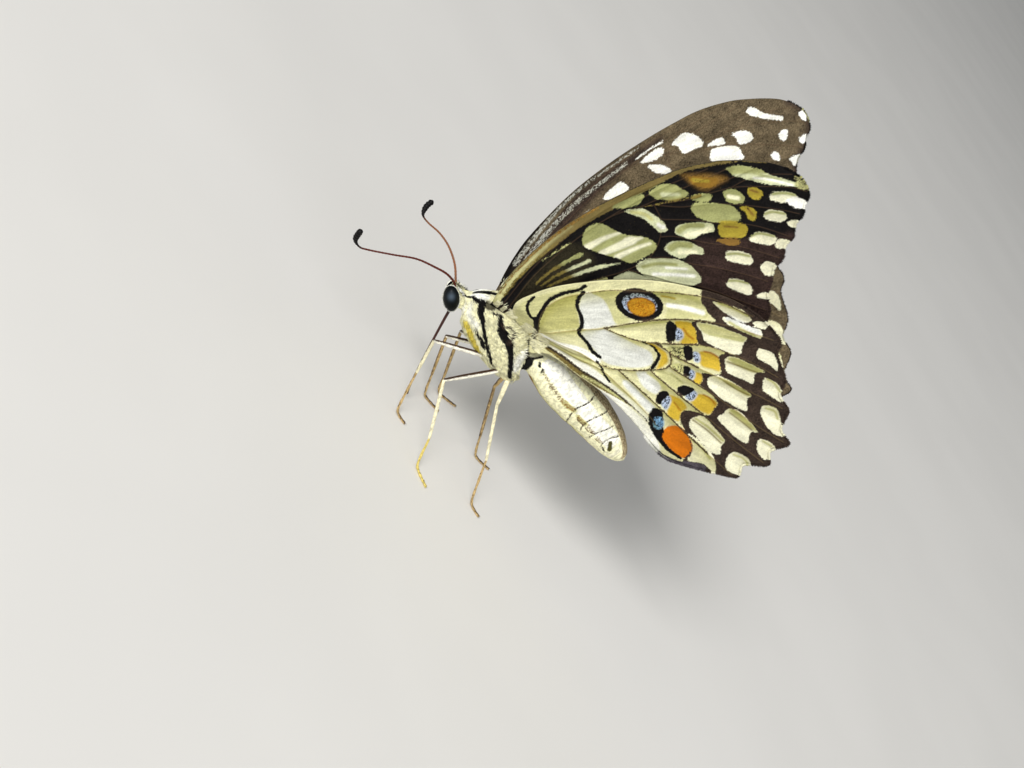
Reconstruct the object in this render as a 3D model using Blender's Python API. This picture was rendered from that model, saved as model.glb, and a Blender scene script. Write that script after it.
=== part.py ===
"""Chequered swallowtail butterfly, life size, standing with its wings closed over its back.

Metres, +Z up, head towards -X, the animal's left side towards -Y. Lengths below are in
millimetres and are turned into metres as each mesh is made. The floor is z = 0.
"""
import math

import bmesh
import bpy
from mathutils import Matrix, Vector
from mathutils.geometry import delaunay_2d_cdt

MM = 0.001
GAP = 0.3
CENTRE_SHIFT = 1.55

# Posture
BODY_PITCH = math.radians(12.0)
HEAD_PITCH = math.radians(52.0)
WING_SPREAD = math.radians(13.5)
HINGE = Vector((-7.9, 0.0, 15.8))
HINGE_HALF_WIDTH = 2.8

# Wings, in millimetres along the wing (u, away from the back) and across it (v, towards the tail)
WING_THICKNESS = 0.5
HINDWING_OFFSET = 1.1
HINDWING_STEP = 1.3
HINDWING_FREE = 6.0
RIDGE_HEIGHT = 0.16
RIDGE_HALF_WIDTH = 0.36
RIDGE_FADE = 0.4
RIDGE_END = 0.25
OUTLINE_STEP = 0.95
VEIN_STEP = 1.1
POINT_SPACING = 0.25

FOREWING_OUTLINE = [
    (-2.2, -0.6), (-0.4, -1.1), (2.6, -1.7), (5.5, -1.9), (10.9, -1.6), (15.7, -0.7), (20.0, 0.5),
    (23.2, 1.6), (25.4, 2.5), (27.4, 3.7), (29.0, 4.95), (31.1, 7.2), (32.0, 8.7), (32.3, 10.1),
    (32.1, 11.2), (31.4, 12.2), (30.5, 12.5), (29.6, 13.1), (28.4, 13.3), (27.2, 14.1), (26.0, 14.2),
    (24.8, 15.0), (23.5, 15.1), (22.1, 16.0), (20.9, 16.6), (19.7, 18.0), (18.1, 18.8), (16.4, 19.9),
    (15.2, 19.7), (12.2, 16.6), (8.0, 11.6), (4.0, 6.4), (1.5, 3.1), (-0.2, 1.8), (-2.2, 1.4),
]
FOREWING_VEINS = {
    "subcosta": [(-0.8, -0.1), (5.5, -0.7), (11.0, -0.6), (15.5, -0.1), (19.6, 0.9), (22.6, 1.85)],
    "radius": [(-0.8, 0.6), (2.4, 0.2), (5.4, -0.1), (9.5, 0.0), (12.7, 0.3), (14.8, 0.65),
               (16.9, 1.2), (19.0, 2.2), (20.2, 3.0)],
    "radius_1": [(14.8, 0.65), (18.1, 1.3), (21.8, 2.2), (25.0, 3.3), (26.8, 3.95)],
    "radius_2": [(19.0, 2.2), (22.4, 3.3), (25.7, 4.4), (28.5, 5.3)],
    "radius_3": [(24.2, 5.4), (27.0, 5.9), (29.9, 6.8)],
    "radius_4": [(26.8, 6.7), (28.8, 7.2), (30.6, 8.3), (32.0, 9.6)],
    "radius_5": [(20.2, 3.0), (23.2, 4.9), (25.1, 5.8), (27.0, 6.8), (28.9, 8.4), (30.9, 10.4),
                 (31.7, 11.7)],
    "media_1": [(20.2, 3.0), (22.0, 4.9), (24.2, 6.5), (26.3, 8.6), (28.5, 11.3), (29.5, 12.8)],
    "media_2": [(19.5, 4.4), (21.7, 6.5), (23.0, 8.1), (24.8, 9.9), (25.9, 11.4), (27.1, 13.8)],
    "media_3": [(18.0, 5.6), (19.1, 6.5), (20.2, 8.1), (21.3, 9.6), (23.0, 11.6), (24.7, 14.7)],
    "cubitus_1": [(15.3, 6.3), (16.8, 7.5), (17.8, 9.2), (19.4, 11.3), (20.9, 13.6), (22.0, 15.7)],
    "cubitus_2": [(12.9, 5.8), (14.3, 8.0), (15.3, 9.8), (16.9, 12.0), (18.2, 14.8), (19.5, 17.7)],
    "cubitus": [(-0.8, 1.0), (5.0, 2.3), (9.8, 4.4), (12.9, 5.8), (15.3, 6.3), (16.6, 6.2),
                (18.0, 5.6), (19.5, 4.4), (20.2, 3.0)],
    "anal": [(-0.6, 1.4), (1.6, 2.4), (4.5, 5.2), (9.5, 10.8), (13.5, 15.4), (16.3, 19.4)],
}
HINDWING_OUTLINE = [
    (-2.4, 3.4), (-0.6, 3.6), (0.4, 3.8), (1.3, 3.2), (2.0, 1.9), (2.9, 1.0), (4.6, 0.95), (6.7, 1.9),
    (9.1, 3.4), (11.6, 5.3), (13.9, 7.4), (15.6, 9.4), (17.0, 11.5), (18.2, 13.6), (18.9, 15.8),
    (19.1, 18.0), (18.6, 20.6), (17.2, 21.5), (15.7, 23.9), (13.9, 24.8), (13.2, 26.6), (11.0, 27.6),
    (10.3, 29.3), (8.2, 28.7), (6.8, 29.7), (4.9, 28.1), (3.3, 28.7), (1.9, 26.9), (0.4, 24.6),
    (-0.6, 22.6), (-0.6, 21.0), (-0.2, 19.2), (0.3, 16.8), (0.6, 14.2), (0.4, 11.0), (-0.1, 8.4),
    (-1.0, 6.4), (-2.4, 5.2),
]
HINDWING_VEINS = {
    "subcosta": [(-0.8, 3.9), (1.0, 4.0), (3.4, 2.9), (6.0, 3.1), (8.6, 4.5), (11.4, 6.6),
                 (16.8, 12.4), (18.7, 17.0)],
    "radius": [(-0.8, 4.2), (1.2, 4.4), (4.6, 6.6), (6.7, 8.2), (9.1, 9.6), (11.8, 11.4),
               (14.4, 13.8), (16.4, 16.6), (18.2, 20.1)],
    "media_1": [(6.7, 8.2), (7.9, 10.9), (9.2, 12.7), (12.3, 15.6), (13.7, 17.9), (14.7, 20.4),
                (15.4, 23.3)],
    "media_2": [(9.4, 14.4), (10.3, 17.4), (11.5, 20.9), (12.4, 23.7), (13.0, 26.0)],
    "media_3": [(8.2, 15.4), (8.8, 18.8), (9.3, 22.9), (9.6, 26.1), (10.1, 28.8)],
    "cubitus_1": [(6.4, 14.4), (6.4, 18.4), (6.5, 21.9), (6.5, 25.3), (6.7, 29.2)],
    "cubitus_2": [(4.0, 12.2), (3.8, 17.1), (3.5, 20.8), (3.2, 24.8), (3.1, 28.2)],
    "cubitus": [(-0.8, 4.5), (0.5, 4.8), (2.4, 7.7), (3.1, 10.6), (4.0, 12.2), (6.4, 14.4),
                (8.2, 15.4), (9.4, 14.4), (9.2, 12.7)],
    "anal": [(-0.6, 4.7), (1.0, 7.0), (2.6, 10.6), (2.6, 14.1), (2.2, 17.6), (1.6, 21.5), (1.2, 24.6)],
}

# Body: each station is the top and bottom of a section in the plane of symmetry, and its half width
THORAX_STATIONS = [
    ((-10.75, 13.1), (-9.5, 11.3), 1.0), ((-10.0, 14.0), (-8.9, 10.6), 1.75),
    ((-8.8, 15.2), (-7.7, 10.1), 2.35), ((-7.3, 16.1), (-6.1, 9.85), 2.75),
    ((-5.6, 16.8), (-4.2, 9.75), 2.9), ((-4.2, 16.8), (-2.4, 9.85), 2.8),
    ((-3.2, 16.2), (-0.9, 10.2), 2.4), ((-2.6, 15.3), (-0.2, 11.0), 1.8),
]
THORAX_SQUARENESS = 2.5
THORAX_STEP = 0.8
ABDOMEN_STATIONS = [
    ((-2.03, 15.0), (-0.57, 12.4), 1.4), ((-0.6, 16.1), (1.1, 12.1), 2.0),
    ((1.7, 17.0), (3.0, 11.9), 2.3), ((4.4, 17.4), (5.4, 12.1), 2.4),
    ((7.3, 17.4), (8.0, 12.5), 2.3), ((9.8, 17.0), (10.1, 12.8), 2.0),
    ((11.8, 16.3), (11.8, 13.2), 1.6), ((13.0, 15.5), (12.9, 13.8), 1.0),
    ((13.4, 14.9), (13.4, 14.35), 0.4),
]
ABDOMEN_SQUARENESS = 2.0
ABDOMEN_STEP = 0.55
ABDOMEN_SEGMENTS = 8
SEGMENT_GROOVE = 0.035
BODY_SIDES = 20

# Head, with its axes turned by HEAD_PITCH
HEAD_CENTRE = Vector((-10.95, 0.0, 11.85))
HEAD_RADII = 1.1, 1.25, 1.5
EYE_CENTRE = Vector((-11.22, 1.12, 11.5))
EYE_RADII = 0.85, 0.8, 1.3
EYE_FLAT = 0.85
PALP_PATH = [(-10.6, 0.3, 10.8), (-10.95, 0.34, 10.5), (-11.5, 0.34, 10.65), (-11.85, 0.32, 11.05)]
PALP_RADII = 0.32, 0.38, 0.34, 0.2
PALP_STEP = 0.5

PROBOSCIS_PATH = [(-10.4, 0.0, 11.0), (-9.9, 0.0, 9.7), (-8.5, 0.0, 6.7), (-6.6, 0.0, 2.8),
                  (-5.7, 0.0, 1.2), (-5.3, 0.0, 0.6)]
PROBOSCIS_RADII = 0.26, 0.26, 0.25, 0.25, 0.2, 0.12

ANTENNA_PATHS = {
    "left": [(-11.6, -0.45, 12.2), (-12.3, -0.6, 12.6), (-13.5, -1.2, 12.8), (-14.8, -1.7, 12.5),
             (-16.7, -2.2, 11.7), (-18.5, -2.8, 10.3), (-20.4, -3.3, 8.8), (-21.3, -3.9, 8.5),
             (-22.2, -4.4, 8.9), (-22.7, -5.0, 10.2)],
    "right": [(-11.5, 0.45, 12.0), (-12.1, 0.65, 12.4), (-13.3, 1.7, 13.0), (-14.9, 2.7, 13.3),
              (-16.4, 3.6, 13.1), (-17.8, 4.5, 12.5), (-18.6, 5.3, 12.3), (-18.95, 6.2, 12.8),
              (-18.9, 6.9, 13.5)],
}
# Radius at even steps from the head to the tip, with the club near the end
ANTENNA_RADIUS = 0.25
CLUB_RADIUS = 0.38
ANTENNA_RADII = [ANTENNA_RADIUS] * 7 + [ANTENNA_RADIUS * 1.15, CLUB_RADIUS, CLUB_RADIUS * 0.6]
TUBE_STEP = 1.1

# Legs: hip inside the thorax, knee, ankle, then the foot's path to its end on the floor
LEG_RADII = {"femur": (0.36, 0.29), "tibia": (0.29, 0.26), "tarsus": (0.26, 0.2)}
JOINT_OVERRUN = 0.5
LEGS = {
    "fore_left": [(-3.4, -1.2, 11.2), (-9.1, -3.2, 8.0), (-7.5, -3.6, 4.5),
                  (-6.1, -3.8, 1.6), (-5.5, -3.95, 0.5), (-4.9, -4.05, 0.2), (-3.9, -4.2, 0.16)],
    "fore_right": [(-3.4, 1.2, 11.2), (-7.3, 3.0, 6.8), (-4.6, 3.8, 2.5),
                   (-3.4, 3.95, 0.6), (-2.7, 4.0, 0.2), (-0.8, 4.2, 0.18)],
    "mid_left": [(-2.2, -1.4, 11.0), (-5.8, -5.7, 7.2), (-2.1, -7.5, 2.7),
                 (-1.1, -8.3, 0.8), (-0.5, -8.8, 0.22), (1.2, -10.0, 0.18)],
    "mid_right": [(-2.2, 1.4, 11.0), (-6.2, 5.7, 7.3), (-2.9, 6.8, 2.1),
                  (-2.0, 7.15, 0.6), (-1.3, 7.4, 0.2), (1.0, 8.5, 0.18)],
    "hind_left": [(-1.2, -1.0, 11.2), (0.2, -2.7, 8.7), (4.2, -3.7, 4.3),
                  (6.0, -4.2, 1.6), (6.8, -4.45, 0.5), (7.4, -4.65, 0.2), (8.5, -4.95, 0.16)],
    "hind_right": [(-1.2, 1.0, 11.2), (-0.1, 2.5, 7.6), (3.9, 3.5, 2.3),
                   (5.2, 3.9, 0.6), (6.0, 4.1, 0.2), (7.8, 4.6, 0.18)],
}

COLOURS = {
    "pale_scales": ((0.80, 0.76, 0.58), 0.75),
    "abdomen_scales": ((0.86, 0.83, 0.70), 0.75),
    "dark_wing": ((0.10, 0.08, 0.06), 0.6),
    "pale_wing": ((0.72, 0.72, 0.48), 0.6),
    "eye": ((0.02, 0.025, 0.03), 0.15),
    "feeler": ((0.14, 0.04, 0.03), 0.5),
    "tongue": ((0.05, 0.03, 0.025), 0.45),
    "leg": ((0.62, 0.52, 0.36), 0.6),
}


def clear_scene():
    for obj in list(bpy.data.objects):
        bpy.data.objects.remove(obj, do_unlink=True)


def make_collection(name):
    collection = bpy.data.collections.new(name)
    bpy.context.scene.collection.children.link(collection)
    return collection


def make_material(name):
    colour, roughness = COLOURS[name]
    material = bpy.data.materials.new(name)
    material.use_nodes = True
    shader = material.node_tree.nodes["Principled BSDF"]
    shader.inputs["Base Color"].default_value = (*colour, 1.0)
    shader.inputs["Roughness"].default_value = roughness
    shader.inputs["Metallic"].default_value = 0.0
    return material


def smooth_path(points, step, guide=None):
    """Places on a smooth curve through the points, about one step apart along the guide."""
    points = [Vector(p) for p in points]
    guide = [Vector(p) for p in guide] if guide else points
    path = []
    for i, (start, end) in enumerate(zip(points, points[1:])):
        before = points[i - 1] if i else start * 2 - end
        after = points[i + 2] if i + 2 < len(points) else end * 2 - start
        pieces = max(1, round((guide[i + 1] - guide[i]).length / step))
        for k in range(pieces):
            t = k / pieces
            path.append(0.5 * (2 * start + (end - before) * t
                               + (2 * before - 5 * start + 4 * end - after) * t ** 2
                               + (3 * start - before - 3 * end + after) * t ** 3))
    path.append(points[-1])
    return path


def mesh_object(name, shape, collection):
    """Object from a bmesh in millimetres, with its faces pointing out."""
    bmesh.ops.recalc_face_normals(shape, faces=shape.faces)
    bmesh.ops.scale(shape, vec=(MM, MM, MM), verts=shape.verts)
    mesh = bpy.data.meshes.new(name)
    shape.to_mesh(mesh)
    shape.free()
    obj = bpy.data.objects.new(name, mesh)
    collection.objects.link(obj)
    return obj


def loft(name, rings, collection):
    """Closed body through rings of points, each with the same number of points."""
    shape = bmesh.new()
    loops = [[shape.verts.new(p) for p in ring] for ring in rings]
    for first, second in zip(loops, loops[1:]):
        for k in range(len(first)):
            nxt = (k + 1) % len(first)
            shape.faces.new((first[k], first[nxt], second[nxt], second[k]))
    shape.faces.new(loops[0])
    shape.faces.new(loops[-1])
    return mesh_object(name, shape, collection)


def body_ring(top, bottom, half_width, squareness, grow):
    """Rounded section whose height runs from bottom to top in the plane of symmetry."""
    centre = (top + bottom) / 2
    up = (top - bottom) / 2
    height = up.length + grow
    up.normalize()
    ring = []
    for k in range(BODY_SIDES):
        angle = 2 * math.pi * k / BODY_SIDES
        rise = math.copysign(abs(math.cos(angle)) ** (2 / squareness), math.cos(angle))
        side = math.copysign(abs(math.sin(angle)) ** (2 / squareness), math.sin(angle))
        spot = centre + up * rise * height
        ring.append((spot.x, side * (half_width + grow), spot.y))
    return ring


def body_rings(stations, squareness, step, grow=0.0, groove=None):
    """Rings along a body, grown by the same amount all round."""
    guide = [s[0] for s in stations]
    tops = smooth_path(guide, step)
    bottoms = smooth_path([s[1] for s in stations], step, guide)
    widths = smooth_path([(s[2], 0.0) for s in stations], step, guide)
    rings = []
    for i, (top, bottom, width) in enumerate(zip(tops, bottoms, widths)):
        keep = 1 - groove(i / (len(tops) - 1)) if groove else 1.0
        middle = (top + bottom) / 2
        top = middle.lerp(top, keep)
        bottom = middle.lerp(bottom, keep)
        rings.append(body_ring(top, bottom, width.x * keep, squareness, grow))
    if grow:
        for end, inner in ((0, 1), (-1, -2)):
            away = Vector(rings[end][0]) - Vector(rings[inner][0])
            away = Vector((away.x, 0.0, away.z)).normalized() * grow
            rings[end] = [tuple(Vector(p) + away) for p in rings[end]]
    return rings


def make_thorax(name, collection, grow=0.0):
    rings = body_rings(THORAX_STATIONS, THORAX_SQUARENESS, THORAX_STEP, grow)
    return loft(name, rings, collection)


def make_abdomen(name, collection):
    def groove(along):
        phase = (along * ABDOMEN_SEGMENTS) % 1.0
        return SEGMENT_GROOVE * (1 - math.sin(math.pi * phase) ** 0.5)

    rings = body_rings(ABDOMEN_STATIONS, ABDOMEN_SQUARENESS, ABDOMEN_STEP, groove=groove)
    return loft(name, rings, collection)


def tube(name, points, radii, collection, step=TUBE_STEP):
    """Round tube through points, with the radius eased along it, as a closed mesh."""
    path = smooth_path(points, step)
    curve = bpy.data.curves.new(name, "CURVE")
    curve.dimensions = "3D"
    curve.bevel_depth = MM
    curve.bevel_resolution = 2
    curve.use_fill_caps = True
    spline = curve.splines.new("POLY")
    spline.points.add(len(path) - 1)
    for i, (point, spot) in enumerate(zip(spline.points, path)):
        along = i / (len(path) - 1) * (len(radii) - 1)
        k = min(int(along), len(radii) - 2)
        point.co = (*(spot * MM), 1.0)
        point.radius = radii[k] + (radii[k + 1] - radii[k]) * (along - k)
    holder = bpy.data.objects.new(name, curve)
    collection.objects.link(holder)
    bpy.context.view_layer.update()
    mesh = bpy.data.meshes.new_from_object(holder.evaluated_get(bpy.context.evaluated_depsgraph_get()))
    bpy.data.objects.remove(holder, do_unlink=True)
    shape = bmesh.new()
    shape.from_mesh(mesh)
    bmesh.ops.remove_doubles(shape, verts=shape.verts, dist=1e-6)
    bmesh.ops.recalc_face_normals(shape, faces=shape.faces)
    shape.to_mesh(mesh)
    shape.free()
    obj = bpy.data.objects.new(name, mesh)
    collection.objects.link(obj)
    return obj


def slice_off(obj, point, direction):
    """Cut away what lies beyond a plane, and close the cut with a flat face."""
    shape = bmesh.new()
    shape.from_mesh(obj.data)
    geometry = shape.verts[:] + shape.edges[:] + shape.faces[:]
    bmesh.ops.bisect_plane(shape, geom=geometry, dist=1e-9, plane_co=Vector(point) * MM,
                           plane_no=direction, clear_outer=True)
    rim = [edge for edge in shape.edges if edge.is_boundary]
    bmesh.ops.holes_fill(shape, edges=rim, sides=0)
    bmesh.ops.recalc_face_normals(shape, faces=shape.faces)
    shape.to_mesh(obj.data)
    shape.free()


def apply_boolean(obj, operation, collection):
    """Join or cut with every object of a collection, then remove those objects."""
    modifier = obj.modifiers.new(operation.lower(), "BOOLEAN")
    modifier.operand_type = "COLLECTION"
    modifier.collection = collection
    modifier.operation = operation
    modifier.solver = "EXACT"
    bpy.context.view_layer.update()
    evaluated = obj.evaluated_get(bpy.context.evaluated_depsgraph_get())
    mesh = bpy.data.meshes.new_from_object(evaluated)
    obj.modifiers.remove(modifier)
    obj.data = mesh
    for other in list(collection.objects):
        bpy.data.objects.remove(other, do_unlink=True)
    keep_largest(obj)


def keep_largest(obj):
    """Keep only the closed surface that holds the most."""
    shape = bmesh.new()
    shape.from_mesh(obj.data)
    bmesh.ops.remove_doubles(shape, verts=shape.verts, dist=2e-7)
    bmesh.ops.dissolve_degenerate(shape, edges=shape.edges, dist=2e-7)
    left = set(shape.faces)
    shells = []
    while left:
        start = left.pop()
        shell, queue = {start}, [start]
        while queue:
            for edge in queue.pop().edges:
                for face in edge.link_faces:
                    if face in left:
                        left.remove(face)
                        shell.add(face)
                        queue.append(face)
        shells.append(shell)
    shells.sort(key=shell_volume)
    scrap = [face for shell in shells[:-1] for face in shell]
    bmesh.ops.delete(shape, geom=scrap, context="FACES")
    shape.to_mesh(obj.data)
    shape.free()


def shell_volume(shell):
    total = 0.0
    for face in shell:
        corners = [vert.co for vert in face.verts]
        for second, third in zip(corners[1:], corners[2:]):
            total += corners[0].dot(second.cross(third)) / 6
    return total


def ellipsoid(name, centre, radii, collection, turn=0.0, rings=12, sides=18):
    shape = bmesh.new()
    bmesh.ops.create_uvsphere(shape, u_segments=sides, v_segments=rings, radius=1.0)
    bmesh.ops.scale(shape, vec=radii, verts=shape.verts)
    bmesh.ops.rotate(shape, cent=(0, 0, 0), matrix=Matrix.Rotation(turn, 3, "Y"), verts=shape.verts)
    bmesh.ops.translate(shape, vec=centre, verts=shape.verts)
    return mesh_object(name, shape, collection)


def mirrored(point, side):
    """A point given for the right side, on the wanted side: +1 right, -1 left."""
    return Vector((point[0], point[1] * side, point[2]))


def make_eye(name, side, collection, grow=0.0):
    radii = [r + grow for r in EYE_RADII]
    eye = ellipsoid(name, mirrored(EYE_CENTRE, side), radii, collection, -HEAD_PITCH)
    slice_off(eye, (0.0, side * (EYE_FLAT - grow), 0.0), (0.0, -side, 0.0))
    return eye


def make_head(name, collection, cutters):
    head = ellipsoid(name, HEAD_CENTRE, HEAD_RADII, collection, -HEAD_PITCH, 14, 20)
    for side in (-1, 1):
        tube("palp", [mirrored(p, side) for p in PALP_PATH], PALP_RADII, cutters, PALP_STEP)
    apply_boolean(head, "UNION", cutters)
    make_thorax("thorax_room", cutters, GAP)
    for side in (-1, 1):
        make_eye("eye_room", side, cutters, GAP)
    apply_boolean(head, "DIFFERENCE", cutters)
    return head


def make_feelers(collection, cutters):
    """Antennae and proboscis, each starting one gap off the head."""
    feelers = []
    for side, path in ANTENNA_PATHS.items():
        feelers.append(tube("antenna_" + side, path, ANTENNA_RADII, collection))
    feelers.append(tube("proboscis", PROBOSCIS_PATH, PROBOSCIS_RADII, collection))
    for feeler in feelers:
        room = [r + GAP for r in HEAD_RADII]
        ellipsoid("head_room", HEAD_CENTRE, room, cutters, -HEAD_PITCH, 14, 20)
        for side in (-1, 1):
            radii = [r + GAP for r in PALP_RADII]
            tube("palp_room", [mirrored(p, side) for p in PALP_PATH], radii, cutters, PALP_STEP)
        apply_boolean(feeler, "DIFFERENCE", cutters)
    return feelers


def make_leg(leg, collection, cutters):
    """Thigh, shin and foot, cut along the bisector of each joint and flat on the floor."""
    path = [Vector(p) for p in LEGS[leg]]
    hip, knee, ankle, foot = path[0], path[1], path[2], path[2:]
    spans = {"femur": [hip, knee], "tibia": [knee, ankle], "tarsus": foot}
    pieces = {}
    for part, points in spans.items():
        start, end = points[0], points[-1]
        if part != "femur":
            points = [start - (points[1] - start).normalized() * JOINT_OVERRUN] + points
        if part != "tarsus":
            points = points + [end + (end - points[-2]).normalized() * JOINT_OVERRUN]
        pieces[part] = tube(f"leg_{leg}_{part}", points, LEG_RADII[part], collection)
    for joint, before, after, near, far in ((knee, hip, ankle, "femur", "tibia"),
                                            (ankle, knee, foot[1], "tibia", "tarsus")):
        onward = ((joint - before).normalized() + (after - joint).normalized()).normalized()
        slice_off(pieces[near], joint - onward * GAP / 2, onward)
        slice_off(pieces[far], joint + onward * GAP / 2, -onward)
    slice_off(pieces["tarsus"], (0, 0, 0), (0, 0, -1))
    make_thorax("thorax_room", cutters, GAP)
    apply_boolean(pieces["femur"], "DIFFERENCE", cutters)
    return list(pieces.values())


def distance_to_path(spot, path):
    """Distance from a point to a polyline, and how far along it the nearest place is."""
    best, along = 1e9, 0.0
    for i, (start, end) in enumerate(zip(path, path[1:])):
        run = end - start
        t = max(0.0, min(1.0, (spot - start).dot(run) / run.length_squared))
        distance = (spot - start - run * t).length
        if distance < best:
            best, along = distance, (i + t) / (len(path) - 1)
    return best, along


def ridge_height(spot, veins):
    """Height of the vein ridges over the membrane, easing out towards each vein's end."""
    height = 0.0
    for path in veins:
        distance, along = distance_to_path(spot, path)
        ease = min(1.0, (1.0 - along) / RIDGE_END) * (1.0 - RIDGE_FADE * along)
        height = max(height, RIDGE_HEIGHT * ease * (1.0 - distance / RIDGE_HALF_WIDTH))
    return height


def wing_layout(outline, vein_points):
    """Flat triangles that follow the outline and the veins."""
    rim = smooth_path(outline, OUTLINE_STEP)
    veins = [smooth_path(points, VEIN_STEP) for points in vein_points.values()]
    spots, edges = list(rim), []
    for path in veins:
        start = len(spots)
        spots += path
        edges += [(start + k, start + k + 1) for k in range(len(path) - 1)]
    for path in veins:
        for before, spot, after in zip(path, path[1:], path[2:]):
            across = (after - before).orthogonal().normalized() * RIDGE_HALF_WIDTH
            for side in (spot + across, spot - across):
                near_vein = min(distance_to_path(side, other)[0] for other in veins)
                near_rim = distance_to_path(side, rim + rim[:1])[0]
                near_spot = min((side - other).length for other in spots[len(rim):])
                clear = near_rim > POINT_SPACING and near_spot > POINT_SPACING
                if clear and near_vein > RIDGE_HALF_WIDTH * 0.8:
                    spots.append(side)
    face = [list(range(len(rim)))]
    spots, _, triangles, _, _, _ = delaunay_2d_cdt(spots, edges, face, 1, 1e-3)
    return [Vector(s) for s in spots], triangles, veins


def wing_point(u, v, w, side):
    """Place in the body's frame of a point on a wing: along, across and out from the wing."""
    out = Vector((0.0, side, 0.0))
    up = Vector((-math.sin(BODY_PITCH), 0.0, math.cos(BODY_PITCH)))
    back = Vector((math.cos(BODY_PITCH), 0.0, math.sin(BODY_PITCH)))
    along = up * math.cos(WING_SPREAD) + out * math.sin(WING_SPREAD)
    away = out * math.cos(WING_SPREAD) - up * math.sin(WING_SPREAD)
    return HINGE + out * HINGE_HALF_WIDTH + along * u + back * v + away * w


def make_wing(name, layout, offset, side, collection, cutters):
    """Thin plate with the same triangles on both faces and the veins raised on both."""
    spots, triangles, veins = layout
    shape = bmesh.new()
    faces = []
    for sign in (1, -1):
        verts = []
        for spot in spots:
            height = WING_THICKNESS / 2 + ridge_height(spot, veins)
            free = max(spot.x, (spot.y - HINDWING_FREE) / 2)
            middle = offset * smooth_step(free / HINDWING_STEP)
            verts.append(shape.verts.new(wing_point(spot.x, spot.y, middle + sign * height, side)))
        faces.append(verts)
    outer, inner = faces
    rim = {}
    for a, b, c in triangles:
        shape.faces.new((outer[a], outer[b], outer[c]))
        shape.faces.new((inner[a], inner[c], inner[b]))
        for edge in ((a, b), (b, c), (c, a)):
            rim[edge] = rim.get((edge[1], edge[0]), 0) + 1
            if (edge[1], edge[0]) in rim:
                del rim[edge], rim[(edge[1], edge[0])]
    for a, b in rim:
        shape.faces.new((outer[b], outer[a], inner[a]))
        shape.faces.new((outer[b], inner[a], inner[b]))
    wing = mesh_object(name, shape, collection)
    make_thorax("thorax_room", cutters, GAP)
    apply_boolean(wing, "DIFFERENCE", cutters)
    return wing


def smooth_step(t):
    t = max(0.0, min(1.0, t))
    return t * t * (3 - 2 * t)


def make_wings(collection, cutters):
    wings = []
    forewing = wing_layout(FOREWING_OUTLINE, FOREWING_VEINS)
    hindwing = wing_layout(HINDWING_OUTLINE, HINDWING_VEINS)
    for side_name, side in (("left", -1), ("right", 1)):
        wings.append(make_wing("forewing_" + side_name, forewing, 0.0, side, collection, cutters))
        wings.append(make_wing("hindwing_" + side_name, hindwing, HINDWING_OFFSET, side,
                               collection, cutters))
    return wings


def dress(objects, material_name, materials, frame):
    """Give objects their material, smooth shading and place in the whole."""
    for obj in objects:
        obj.data.materials.clear()
        obj.data.materials.append(materials[material_name])
        obj.data.shade_smooth()
        obj.data.set_sharp_from_angle(angle=math.radians(50))
        obj.parent = frame


def main():
    clear_scene()
    collection = make_collection("chequered_swallowtail")
    cutters = make_collection("cutters")
    materials = {name: make_material(name) for name in COLOURS}
    frame = bpy.data.objects.new("butterfly", None)
    frame.location.x = CENTRE_SHIFT * MM
    collection.objects.link(frame)

    dress([make_thorax("thorax", collection)], "pale_scales", materials, frame)
    dress([make_abdomen("abdomen", collection)], "abdomen_scales", materials, frame)
    dress([make_head("head", collection, cutters)], "pale_scales", materials, frame)
    for side_name, side in (("left", -1), ("right", 1)):
        dress([make_eye("eye_" + side_name, side, collection)], "eye", materials, frame)
    antenna_left, antenna_right, proboscis = make_feelers(collection, cutters)
    dress([antenna_left, antenna_right], "feeler", materials, frame)
    dress([proboscis], "tongue", materials, frame)
    for leg in LEGS:
        dress(make_leg(leg, collection, cutters), "leg", materials, frame)
    for wing in make_wings(collection, cutters):
        colour = "dark_wing" if wing.name.startswith("forewing") else "pale_wing"
        dress([wing], colour, materials, frame)


main()
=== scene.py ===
"""Looks of the chequered swallowtail: patterned wings, scaly body, eyes, feelers and legs.

Lengths are in millimetres, and become metres as each mesh is made. Only the points of outlines,
lines and marks are written in tenths of a millimetre, and tenths() reads them. +Z is up, the head
points towards -X and the left side is -Y, as in the CAD frame.
"""
import math

import bmesh
import bpy
import numpy as np
from mathutils import Matrix, Vector
from mathutils.geometry import delaunay_2d_cdt
from mathutils.kdtree import KDTree


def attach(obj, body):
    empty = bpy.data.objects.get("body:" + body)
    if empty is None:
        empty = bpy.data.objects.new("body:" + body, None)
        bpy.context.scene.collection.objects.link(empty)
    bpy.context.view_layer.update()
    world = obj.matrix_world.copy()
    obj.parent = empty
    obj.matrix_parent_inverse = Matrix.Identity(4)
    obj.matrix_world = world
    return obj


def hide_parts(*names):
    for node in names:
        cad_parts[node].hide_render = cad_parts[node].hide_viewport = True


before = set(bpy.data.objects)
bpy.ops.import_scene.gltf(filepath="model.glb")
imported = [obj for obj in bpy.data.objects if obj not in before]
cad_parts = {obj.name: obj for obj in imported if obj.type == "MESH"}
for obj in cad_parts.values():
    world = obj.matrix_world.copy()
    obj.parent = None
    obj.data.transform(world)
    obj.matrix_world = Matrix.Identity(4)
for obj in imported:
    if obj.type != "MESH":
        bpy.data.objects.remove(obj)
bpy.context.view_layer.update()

MM = 0.001
SEED = 11
BODY = "root"
SIDES = {"left": -1, "right": 1}

# Camera
VIEW_TARGET = (1.55, 0.0, 10.3)
VIEW_DIRECTION = (-0.2554, -0.8975, 0.3596)
VIEW_UP = (-0.788, 0.0, 0.6157)
VIEW_DISTANCE = 200.0
LENS_MM = 68.9
SENSOR_MM = 36.0
CLIP_START_M = 0.01

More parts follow.
